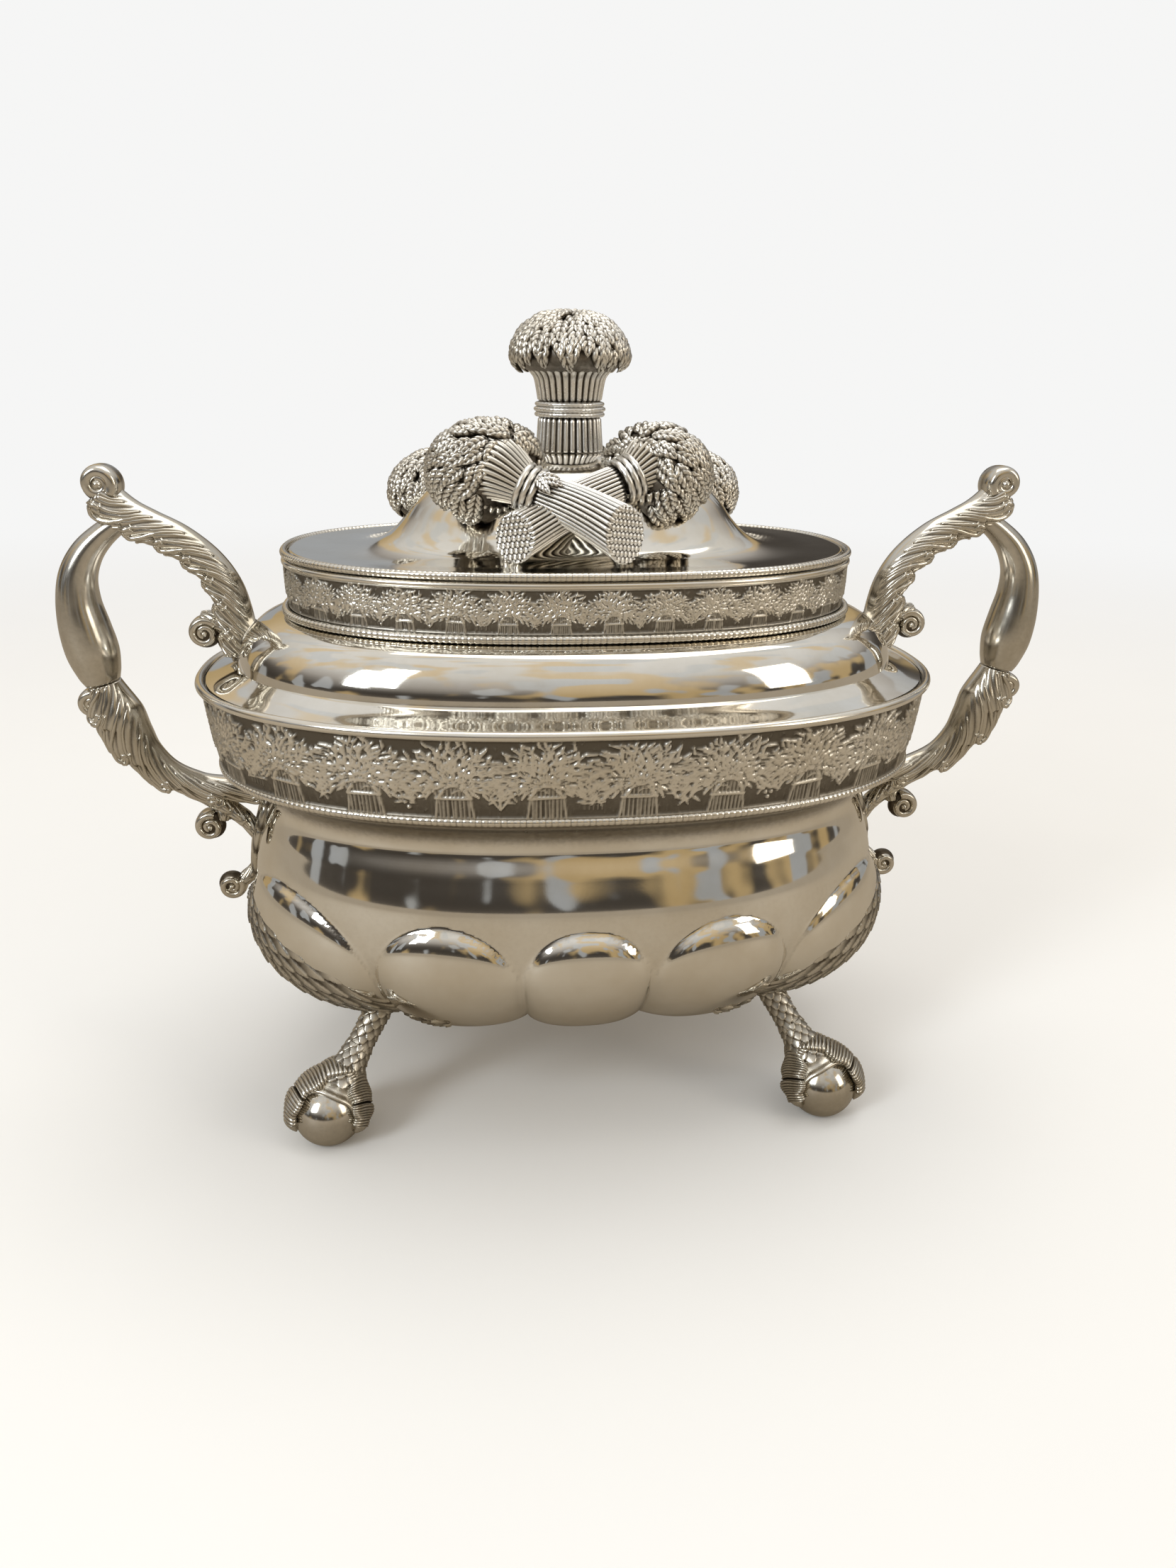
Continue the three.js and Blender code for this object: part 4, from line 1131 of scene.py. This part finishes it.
def hugging_leaf(part, profile, halves, lobes, rise):
    """A lobed leaf that lies on an oval surface across its +X end.

    profile is the surface's (half length, half width, height) under the leaf's spine, and
    halves are the leaf's half widths at even steps along it.
    """
    rows, cols = 110, 56
    a, b, z = resample(np.asarray(profile, float), rows).T[..., None]
    w = np.linspace(0, 1, rows)[:, None]
    v = np.linspace(-1, 1, cols)[None, :]
    saw = (w * lobes) % 1
    notch = 0.82 + 0.18 * saw**0.6 * smoothstep(saw, 1, 0.8)
    half = np.interp(w, np.linspace(0, 1, len(halves)), halves) * notch
    y = v * half
    x = a * (1 - np.abs(y / b) ** PLAN_POWER) ** (1 / PLAN_POWER)
    skin = np.stack([x, y, z + 0 * y], -1)
    out = unit(np.cross(np.gradient(skin, axis=1), np.gradient(skin, axis=0)))
    out = out * np.sign(out[..., 0].mean())
    crown = np.sqrt(1 - v**2)
    vein = np.abs(np.cos(math.pi * (lobes * w - 1.3 * np.abs(v))))
    rib = np.exp(-((v / 0.13) ** 2))
    ridge = np.maximum(0.8 * vein, rib)
    top = skin + out * (rise * (0.3 + 0.7 * crown) + 0.4 * ridge * crown)[..., None]
    under = (skin - 0.7 * out)[:, ::-1]
    wear = np.hstack([0.15 + 0.85 * ridge + 0 * w, np.zeros((rows, cols))])
    part.add(np.hstack([top, under]), wear)


# The right handle's limbs: rows of x, z, in-plane radius and side radius.
UPPER_LIMB = [
    (88.6, 126, 5.0, 5.0), (90, 137.6, 4.8, 4.8), (91.8, 144.6, 4.5, 4.6), (95.9, 150.8, 4.4, 4.6),
    (102.3, 156.2, 4.4, 4.6), (109.2, 159.9, 4.4, 4.7), (114.4, 162.3, 4.9, 4.8),
    (118.2, 165.2, 5.1, 4.7), (120.4, 168.6, 4.7, 4.3),
]
GRIP = [
    (116.0, 161.8, 2.6, 3.4), (121.8, 157.6, 3.3, 3.9), (126.2, 152.9, 4.1, 4.6), (129.0, 147, 4.9, 5.3),
    (129.7, 140.4, 5.7, 6.0), (129.0, 133.4, 6.6, 6.7), (127.8, 126.8, 6.8, 6.8),
    (126.8, 121.4, 5.7, 5.8), (126.2, 118.6, 4.6, 4.8),
]
LOWER_LIMB = [
    (125.8, 118.2, 4.4, 4.6), (123.6, 109.8, 7.0, 5.9), (120.8, 103.0, 6.4, 5.5),
    (117.4, 97.4, 5.2, 4.9), (112.4, 92.4, 4.3, 4.4), (106.2, 89.2, 3.8, 4.3),
    (99.0, 87.4, 3.6, 4.3), (84.0, 87.2, 3.4, 4.4),
]
# Its scrolls: centre x and z, radius, half width, turns, start in half turns, direction
# and the strip's thickness.
SCROLLS = [
    ("thumb_scroll", 120.4, 170.9, 5.7, 4.4, 1.4, 1.22, -1, 2.0),
    ("lower_limb", 129.2, 112.9, 4.4, 3.7, 1.4, 0.6, -1, 1.4),
    ("upper_volute", 98.0, 131.9, 5.0, 3.3, 1.6, 0.8, -1, 1.25),
    ("lower_volute", 101.8, 76.2, 4.9, 3.3, 1.5, 0.62, -1, 1.25),
    ("body_leaf", 97.4, 57.7, 4.6, 3.3, 1.5, 0.8, 1, 1.3),
]
# Its small leaves: the number of rings and lobes, and rows of x, z, half thickness, half width.
LEAF_STRIPS = [
    ("lower_limb", 50, 4,
     [(104.0, 86.2, 2.0, 3.0), (98.0, 82.4, 2.0, 3.2), (92.4, 78.0, 1.8, 3.4), (88.8, 73.0, 1.6, 3.4)]),
    ("upper_volute", 40, 2, [(98.8, 136.0, 1.2, 3.1), (95.4, 135.4, 1.8, 3.3), (91.8, 133.0, 2.4, 3.6)]),
    ("lower_volute", 40, 2, [(99.4, 86.5, 2.0, 3.2), (97.9, 82.4, 1.8, 3.3), (97.6, 78.0, 1.4, 3.2)]),
    ("body_leaf", 60, 2, [(88.4, 67.0, 1.2, 3.2), (90.4, 62.4, 1.6, 3.3), (94.0, 59.0, 1.6, 3.2)]),
]
# The leaf on the shoulder: the surface under its spine, and its half widths along it.
CLASP = [
    (84.6, 53.9, 134.7), (86.2, 54.9, 133.0), (87.8, 56.0, 130.4), (88.8, 56.9, 127.4),
    (89.2, 57.2, 125.4), (91.4, 59.4, 124.4),
]
CLASP_HALVES = [2.0, 4.6, 5.4, 5.6, 5.2, 4.0, 2.0]
BODY_LEAF_HALVES = [6.4, 8.8, 8.4, 6.8, 4.4]
BODY_LEAF_Z = (61, 91)
HANDLE_PIECES = (
    "upper_limb", "thumb_scroll", "grip", "lower_limb",
    "upper_volute", "lower_volute", "shoulder_leaf", "body_leaf",
)


def handle_parts():
    """Every piece of the right handle, by the last part of its CAD node's name."""
    parts = {name: Part() for name in HANDLE_PIECES}
    # The grip is painted darker all over: painted shade for the dark surroundings it reflects.
    parts["grip"].add_rounded(limb(GRIP, 90, 64, plain_limb)[0], 0.6)
    for name, stations, rows, lobes, depth, leafy_side, girth, stretch in (
        ("upper_limb", UPPER_LIMB, 300, 7, 1.3, 0.0, 4.6, 1.0),
        ("lower_limb", LOWER_LIMB, 260, 5, 1.6, math.pi, 4.9, 1.25),
    ):
        grid, wear = limb(stations, rows, 110, acanthus(lobes, depth, leafy_side))
        parts[name].add_rounded(grid, wear)
        leaf_stems(parts[name], grid, lobes, leafy_side, girth, stretch)
    hugging_leaf(parts["shoulder_leaf"], spline(CLASP), CLASP_HALVES, 2, 0.6)
    on_wall = (WALL_CURVE[:, 2] > BODY_LEAF_Z[0]) & (WALL_CURVE[:, 2] < BODY_LEAF_Z[1])
    hugging_leaf(parts["body_leaf"], WALL_CURVE[on_wall], BODY_LEAF_HALVES, 4, 2.0)
    for name, cx, cz, radius, half_width, turns, start, direction, thick in SCROLLS:
        scroll(parts[name], cx, cz, radius, half_width, turns, start * math.pi, direction, thick)
    for name, rows, lobes, stations in LEAF_STRIPS:
        leaf_strip(parts[name], stations, rows, lobes)
    return parts


# ---------------------------------------------------------------- feet


def overlapping_scales(along, around):
    """Staggered rows of rounded scales, in units of one scale. 1 is a scale's lip."""
    best = 0.0
    for shift in (0.0, 0.5):
        a = along / 2 + shift
        cell = a - np.floor(a)
        off = around + shift
        off = 2 * (off - np.round(off))
        best = np.maximum(best, cell * (cell + 0.55 * off**2 < 1))
    return best


def ball_parts(centre, radius):
    """A polished ball with a small flat rubbed down under it, on the table."""
    drop = math.acos(max(-1.0, min(1.0, -centre[2] / radius)))
    part = Part()
    part.add(centre + sphere(48, 96, 0.03, drop) * radius, 0.62)
    return part


def slerp(a, b, t):
    gap = math.acos(float(np.clip(a @ b, -1, 1)))
    t = np.asarray(t)[:, None]
    return (np.sin((1 - t) * gap) * a + np.sin(t * gap) * b) / math.sin(gap)


# The toes: how far each one swings from the foot's outward line, how high its tip lies on
# the ball (as a sine) and its half width.
TOES = [(-0.2, -0.02, 5.4), (2.0, -0.15, 5.0), (-1.9, -0.15, 5.0)]
TOE_RIDGES = 26
TOE_JOINT = 0.62


def claw_parts(centre, radius, ankle):
    """Three ridged toes and the web between them, gripping the ball."""
    part = Part()
    pole = unit(ankle - centre)
    diagonal = math.atan2(centre[1], centre[0])
    for swing, sink, half in TOES:
        heading = diagonal + swing
        level = math.sqrt(1 - sink**2)
        tip = np.array([math.cos(heading) * level, math.sin(heading) * level, sink])
        rows = 240
        t = np.linspace(0.0, 1, rows)
        ray = slerp(pole, tip, t)
        lift = 0.9 + 2.6 * (1 - smoothstep(t, 0, 0.45))
        path = centre + ray * (radius + lift)[:, None]
        knuckle = np.abs(np.sin(math.pi * (t * 3.2 + 0.15)))
        wide = half * (0.82 + 0.25 * knuckle) * (1 - 0.3 * smoothstep(t, 0.75, 1))
        thick = 1.9 - 0.5 * t
        tangent = unit(np.gradient(path, axis=0))
        side = np.cross(tangent, ray)
        turn = turn_angles(60)
        over = np.maximum(0, np.cos(turn))[None] ** 0.5
        fan = 1 - 0.035 * np.abs(np.sin(turn))[None] ** 2
        beat = t[:, None] * fan + 0.004 * np.sin(TAU * t * 5)[:, None]
        ridge = np.abs(np.sin(math.pi * beat * TOE_RIDGES)) ** 0.8
        joint = np.exp(-(((beat - TOE_JOINT) / 0.016) ** 2))
        proud = thick[:, None] + (0.4 * ridge - 1.3 * joint) * over
        frill = wide[:, None] * (0.95 + 0.05 * ridge - 0.12 * joint)
        grid = (
            path[:, None]
            + ray[:, None] * (proud * np.cos(turn)[None])[..., None]
            + side[:, None] * (frill * np.sin(turn)[None])[..., None]
        )
        part.add_rounded(grid, (0.05 + 0.8 * ridge) * (1 - joint), rim=1.0, share=0.5)
        nail = slerp(pole, tip, np.linspace(0.97, 1.16, 16))
        reach = np.linspace(0, 1, 16)
        path = centre + nail * (radius + 0.9 - 0.5 * reach)[:, None]
        thick, wide = 1.7 * (1 - 0.82 * reach**1.5), 1.9 * (1 - 0.85 * reach**1.5)
        middle, out, _ = tube(path, thick, wide, 24, tip)
        part.add_rounded(middle + out, 0.55)
    east = unit(np.cross(pole, [0, 0, 1.0]))
    north = np.cross(pole, east)
    turn = turn_angles(120)
    spread = np.full(120, 9.0)
    for swing, _, _ in TOES:
        heading = np.array([math.cos(diagonal + swing), math.sin(diagonal + swing), -0.3])
        angle = math.atan2(heading @ north, heading @ east)
        spread = np.minimum(spread, np.abs((turn - angle + math.pi) % TAU - math.pi))
    edge = math.radians(58) + math.radians(34) * np.exp(-((spread / 0.42) ** 2))
    share = np.linspace(0.03, 1, 40)[:, None]
    polar = share * edge[None, :]
    ray = np.cos(polar)[..., None] * pole + np.sin(polar)[..., None] * (
        np.cos(turn)[:, None] * east + np.sin(turn)[:, None] * north
    )
    lip = 0.35 * smoothstep(share, 0.82, 0.97)
    web = centre + ray * (radius + 0.75 + 1.2 * (1 - share) + lip)[..., None]
    back = centre + ray[-1:] * (radius - 0.6)
    part.add(np.vstack([web, back]), np.vstack([0.45 + 0.4 * share + 0 * polar, np.zeros((1, 120))]))
    return part


# A leg, and the ankle that runs on into the claw: rows of x, y, z and radius.
LEG_STATIONS = [
    (49.5, 31.2, 46.5, 4.8), (51.6, 32.8, 41.5, 4.3), (54.4, 34.4, 35.5, 3.8),
    (58.0, 36.6, 29.0, 3.4), (61.0, 38.4, 23.8, 3.5),
]
ANKLE_STATIONS = [
    (60.0, 37.7, 25.6, 3.6), (62.4, 39.4, 21.6, 4.2), (64.6, 41.0, 18.0, 5.4), (66.6, 42.4, 14.6, 6.6),
]
SCALE_LENGTH = 1.7


def scaly_rod(part, stations, steps, rows, cols, scales_round, proud):
    curve = resample(spline(stations, steps), rows)
    path = curve[:, :3]
    centre, out, angle = tube(path, curve[:, 3], curve[:, 3], cols, (0.5, -0.8, 0))
    along, around = length_along(path)[:, None] / SCALE_LENGTH, angle[None] * scales_round / TAU
    lip = overlapping_scales(along, around)
    part.add(centre + out + unit(out) * (proud * lip - 0.4)[..., None], 0.05 + 0.75 * lip)


def wall_point(degrees, row):
    """A point on the lobed wall of the quarter with +X and +Y, and its normal."""
    index = np.clip(row * WALL_STEPS, 0, len(WALL_CURVE) - 1.001)
    low = np.floor(index).astype(int)
    part = (index - low)[..., None]

    def at(angle, shift):
        i = np.clip(low + shift, 0, len(WALL_CURVE) - 2)
        a, b, z = np.moveaxis(WALL_CURVE[i] * (1 - part) + WALL_CURVE[i + 1] * part, -1, 0)
        x, y = oval(a, b, angle)
        return np.stack([x, y, z], -1)

    angle = np.radians(degrees)
    here = at(angle, 0)
    around = at(angle + 0.004, 0) - at(angle - 0.004, 0)
    down = at(angle, 1) - at(angle, -1)
    normal = unit(np.cross(down, around))
    normal = normal * np.sign((normal * here * [1, 1, 0]).sum(-1, keepdims=True) + 1e-6)
    swell = lobe_swell(np.asarray(degrees, float), here[..., 2])
    return here + normal * swell[..., None], normal


def skin_patch(part, start, end, half_rows, rise, scale, rows, cols, bend=0.0):
    """Feathered skin on the wall between two (angle, wall row) points.

    It is sunk into the wall at its edges, so that only its middle stands proud.
    """
    w = np.linspace(0, 1, rows)[:, None]
    v = np.linspace(-1, 1, cols)[None, :]
    half = half_rows * (1 - w**2.2) ** 0.8 * (0.55 + 0.45 * smoothstep(w, 0, 0.25)) + 0.02
    degrees = start[0] + (end[0] - start[0]) * w + 0 * v
    row = start[1] + (end[1] - start[1]) * w + bend * np.sin(math.pi * w) + v * half
    point, normal = wall_point(degrees, row)
    feather = overlapping_scales((1 - w) * scale[0] + 0.35 * np.abs(v), v * scale[1] / 2)
    edge = (1 - np.abs(v) ** 5) * smoothstep(w, 1.0, 0.93) * smoothstep(w, 0.0, 0.05)
    lift = edge * (rise + 1.0 * (feather - 0.4)) - 0.7 * (1 - edge)
    top = point + normal * lift[..., None]
    under = point[:, ::-1] - normal[:, ::-1] * 1.0
    wear = np.hstack([feather**1.4, np.zeros((rows, cols))])
    part.add(np.hstack([top, under]), wear)


def knee_leaf():
    part = Part()
    skin_patch(part, (57.5, 10.6), (8.0, 6.9), 1.75, 0.5, (12, 7), rows=170, cols=80, bend=0.1)
    skin_patch(part, (54.0, 10.4), (69.0, 9.75), 0.6, 0.35, (6, 3), rows=80, cols=40)
    return part


# ---------------------------------------------------------------- pieces

BOWL, LID = "bowl", "lid"

# The rolled bands: the face's top and bottom, the back's bottom and top, the pitch of the
# sheaves, the spacing of the grid and the seed.
BANDS = {
    "lower": (
        (99.2, 67.2, 120.4), (96.1, 63.9, 99.8), (94.2, 62.0, 99.8), (97.2, 65.0, 120.4),
        22.5, 0.34, 5,
    ),
    "upper": (
        (75.9, 48.9, 151.5), (75.1, 48.0, 140.5), (73.3, 46.2, 140.5), (74.1, 47.1, 151.5),
        12.6, 0.225, 6,
    ),
}
# The wires: half length, half width, height, radius, pitch of the beads and their depth.
WIRES = {
    "lower_band_bead": (95.3, 63.1, 99.0, 1.1, 1.5, 0.16),
    "flange_rim_wire": (99.2, 67.2, 121.5, 1.2, None, 0.0),
    "upper_band_bead": (75.8, 48.3, 139.5, 1.1, 1.5, 0.14),
    "upper_band_lip_wire": (75.3, 48.2, 152.2, 0.9, None, 0.0),
    "lid_rim_wire": (75.4, 48.4, 154.4, 1.0, 1.3, 0.1),
}
BEADED_SPACING, PLAIN_SPACING = 0.35, 0.9
BEZEL_TOP = [(72.3, 45.3, 153.2), (72.3, 45.3, 148.2), (71.9, 44.9, 147.2)]
BEZEL_UNDER = [(70.9, 43.9, 153.2), (70.9, 43.9, 147.6), (71.3, 44.3, 147.2)]

make("bowl_body_shell", bowl_body(), BOWL, "bowl_sheet", ["bowl_body"])
make("shoulder_sheet", shoulder(), BOWL, "bowl_sheet", ["shoulder"], sharp=32)
for name, shape in BANDS.items():
    make(f"{name}_wheat_band", rolled_band(*shape), BOWL, "die_rolled_band", [f"{name}_band"])
for name, shape in WIRES.items():
    body = LID if name.startswith("lid") else BOWL
    beaded = shape[4] is not None
    trim = wire(*shape, BEADED_SPACING if beaded else PLAIN_SPACING)
    make(name + "_round", trim, body, "wire_trim", [name])

make("lid_dome", lid_cover(), LID, "lid_sheet", ["lid_cover"])
bezel = shell_between(BEZEL_TOP, BEZEL_UNDER, 300, wear=0.85)
make("lid_bezel_strip", bezel, LID, "lid_sheet", ["lid_bezel"], sharp=40)
make("finial_reeds", finial_stalks(), LID, "wheat_stalks", ["finial_stalks"])
make("finial_cord", finial_tie(), LID, "wheat_stalks", ["finial_tie"])
make("finial_wheat", finial_ears(), LID, "wheat_ears", ["finial_ears"])
stud, nut = nut_and_stud()
make("finial_stud_rod", stud, LID, "hidden_fixing", ["finial_stud"], sharp=40)
make("finial_nut_hex", nut, LID, "hidden_fixing", ["finial_nut"], sharp=30)

for seed, (place, (butt, tie, neck, head, size)) in enumerate(SHEAVES.items()):
    thickness = SLIM_BUTT_RADIUS if place == "front_right" else BUTT_RADIUS
    straw = sheaf_stalks(butt, tie, thickness)
    cords = sheaf_tie(butt, tie, place == "front_left")
    wheat = sheaf_ears(tie, neck, head, size, 20 + seed)
    make(f"{place}_straw", straw, LID, "wheat_stalks", [f"{place}_sheaf_stalks"])
    make(f"{place}_cords", cords, LID, "wheat_stalks", [f"{place}_sheaf_tie"])
    make(f"{place}_wheat", wheat, LID, "wheat_ears", [f"{place}_sheaf_ears"])

right = handle_parts()
for side, turned in {"right": 1, "left": -1}.items():
    for name, part in right.items():
        copy = part.mapped(lambda p, k=turned: p * [k, k, 1])
        node_name = f"{side}_handle_{name}"
        make(node_name + "_cast", copy, BOWL, "handle_casting", [node_name])

ball_low, ball_high = box_mm("rear_right_foot_ball")
ball_centre = (ball_low + ball_high) / 2
ball_radius = (ball_high[0] - ball_low[0]) / 2
ball_centre[2] = ball_high[2] - ball_radius
claw = claw_parts(ball_centre, ball_radius, np.array(ANKLE_STATIONS[0][:3]))
scaly_rod(claw, ANKLE_STATIONS, 12, 60, 120, 9, 0.8)
leg = Part()
scaly_rod(leg, LEG_STATIONS, 16, 120, 96, 7, 0.85)
foot = {
    "ball": (ball_parts(ball_centre, ball_radius), "foot_ball"), "claw": (claw, "chased_foot"),
    "leg": (leg, "chased_foot"), "knee_leaf": (knee_leaf(), "chased_foot"),
}
for corner, (sx, sy) in {
    "front_left": (-1, -1), "front_right": (1, -1), "rear_left": (-1, 1), "rear_right": (1, 1),
}.items():
    for name, (part, slot) in foot.items():
        copy = part.mapped(lambda p, a=sx, b=sy: p * [a, b, 1])
        node_name = f"{corner}_foot_{name}"
        make(node_name + "_chased", copy, BOWL, slot, [node_name], sharp=50 if name == "ball" else None)

# ---------------------------------------------------------------- floor, light, camera

FLOOR_REACH = 40.0
FLOOR_FADE = (0.3, 1.3)
FLOOR_PALE = (0.88, 0.88, 0.875, 1)
FLOOR_PALER = (0.91, 0.91, 0.905, 1)
BACKDROP = (0.92, 0.92, 0.915, 1)
TABLE_IN_SILVER = (0.40, 0.345, 0.27, 1)


def pale_floor():
    """A pale floor that fades into the backdrop's colour away from the bowl."""
    mesh = bpy.data.meshes.new("floor")
    square = ((-1, -1), (1, -1), (1, 1), (-1, 1))
    corners = [(x * FLOOR_REACH, y * FLOOR_REACH, 0) for x, y in square]
    mesh.from_pydata(corners, [], [(0, 1, 2, 3)])
    floor = bpy.data.objects.new("floor", mesh)
    bpy.context.scene.collection.objects.link(floor)
    material = bpy.data.materials.new("pale_floor")
    tree = empty_tree(material)
    place = node(tree, "TexCoord").outputs["Object"]
    pale = mix_colour(tree, noise(tree, place, scale=9.0, detail=4.0), FLOOR_PALE, FLOOR_PALER)
    seen = node(tree, "LightPath").outputs["Is Camera Ray"]
    colour = mix_colour(tree, seen, TABLE_IN_SILVER, pale)
    near = node(tree, "BsdfPrincipled", {"Base Color": colour, "Roughness": 0.7})
    beyond = mix_colour(tree, seen, TABLE_IN_SILVER, BACKDROP)
    far = node(tree, "Emission", {"Color": beyond})
    away = node(tree, "VectorMath", {0: place}, operation="LENGTH").outputs["Value"]
    fade = ranged(tree, away, *FLOOR_FADE, ease=True)
    mixed = node(tree, "MixShader", {0: fade, 1: near.outputs[0], 2: far.outputs[0]})
    node(tree, "OutputMaterial", {"Surface": mixed.outputs[0]})
    mesh.materials.append(material)


# The room's brightness from straight down, at 0, to straight up, at 1.
ROOM_STOPS = [
    (0.0, (0.5, 0.48, 0.45, 1)), (0.47, (0.3, 0.26, 0.22, 1)), (0.51, (0.035, 0.03, 0.025, 1)),
    (0.61, (0.06, 0.052, 0.045, 1)), (0.68, (0.42, 0.39, 0.36, 1)),
    (0.8, (0.72, 0.71, 0.69, 1)), (1.0, (0.9, 0.89, 0.87, 1)),
]
# Patches of wall: colour, share, shift and stretch of the noise, the noise, and its range.
ROOM_PATCHES = [
    ((0.75, 0.55, 0.27, 1), 0.6, (0.0, 0.0, 0.0), (1.0, 1.0, 0.55), (3.1, 2.0, 0.55), (0.5, 0.62)),
    ((0.62, 0.65, 0.68, 1), 0.55, (3.7, 1.2, 0.4), (1.5, 1.5, 0.7), (3.6, 1.0, 0.4), (0.56, 0.61)),
]


def room_light():
    """A pale room with a dark band at the horizon and warm and cool patches of wall."""
    world = bpy.data.worlds.new("room")
    bpy.context.scene.world = world
    tree = empty_tree(world)
    direction = node(tree, "TexCoord").outputs["Generated"]
    height = node(tree, "SeparateXYZ", {"Vector": direction}).outputs["Z"]
    ramp = node(tree, "ValToRGB", {"Fac": ranged(tree, height, -1.0, 1.0)})
    ramp.color_ramp.interpolation = "B_SPLINE"
    while len(ramp.color_ramp.elements) < len(ROOM_STOPS):
        ramp.color_ramp.elements.new(0.5)
    for element, (at, colour) in zip(ramp.color_ramp.elements, ROOM_STOPS):
        element.position, element.color = at, colour
    plain = room = ramp.outputs["Color"]
    for colour, share, shift, stretch, grain, edges in ROOM_PATCHES:
        spread = {"Vector": direction, "Location": shift, "Scale": stretch}
        spots = noise(tree, node(tree, "Mapping", spread).outputs["Vector"], *grain)
        patch = mix_colour(tree, share, plain, colour)
        room = mix_colour(tree, ranged(tree, spots, *edges, ease=True), room, patch)
    seen = node(tree, "LightPath").outputs["Is Camera Ray"]
    colour = mix_colour(tree, seen, room, BACKDROP)
    background = node(tree, "Background", {"Color": colour, "Strength": 1.0})
    node(tree, "OutputWorld", {"Surface": background.outputs["Background"]})


def softbox(name, place, width, height, power, colour):
    """A rectangular lamp that faces the bowl. It shows in the silver, not to the camera."""
    light = bpy.data.lights.new(name, "AREA")
    light.shape = "RECTANGLE"
    light.size, light.size_y = width, height
    light.energy = power
    light.color = colour
    lamp = bpy.data.objects.new(name, light)
    bpy.context.scene.collection.objects.link(lamp)
    lamp.location = place
    lamp.rotation_euler = (Vector(LOOK_AT) - Vector(place)).to_track_quat("-Z", "Y").to_euler()
    lamp.visible_camera = False


CAMERA_PLACE = (-0.0311, -0.3211, 0.2030)
CAMERA_YAW, CAMERA_PITCH, CAMERA_ROLL = (math.radians(a) for a in (6.6, 20.0, 0.7))
CAMERA_LENS = 27.03
LOOK_AT = (0, 0, 0.11)
DAYLIGHT = (0.92, 0.97, 1.0)
# The other lamps: place, width, height, power and colour.
LAMPS = {
    "top_light": ((0.2, 0.3, 1.7), 1.4, 1.2, 9, (1.0, 0.97, 0.92)),
    "fill_light": ((1.3, -0.9, 0.7), 0.5, 0.9, 4, (1.0, 0.93, 0.82)),
}


def photo_camera():
    """The camera stands in front, a little to the left, and looks down on the bowl."""
    data = bpy.data.cameras.new("camera")
    data.lens = CAMERA_LENS
    data.clip_start = 0.01
    camera = bpy.data.objects.new("camera", data)
    bpy.context.scene.collection.objects.link(camera)
    level = math.cos(CAMERA_PITCH)
    heading = (math.sin(CAMERA_YAW) * level, math.cos(CAMERA_YAW) * level)
    ahead = Vector((*heading, -math.sin(CAMERA_PITCH)))
    facing = ahead.to_track_quat("-Z", "Y").to_matrix().to_4x4()
    turn = facing @ Matrix.Rotation(CAMERA_ROLL, 4, "Z")
    camera.matrix_world = Matrix.Translation(CAMERA_PLACE) @ turn
    bpy.context.scene.camera = camera


pale_floor()
room_light()
for pane_x, pane_z in ((-1.3, 0.75), (-0.95, 0.75), (-1.3, 1.2), (-0.95, 1.2)):
    softbox(f"window_{pane_x}_{pane_z}", (pane_x, -1.0, pane_z), 0.27, 0.36, 2.6, DAYLIGHT)
for name, lamp in LAMPS.items():
    softbox(name, *lamp)
photo_camera()
bpy.context.scene.view_settings.view_transform = "Standard"
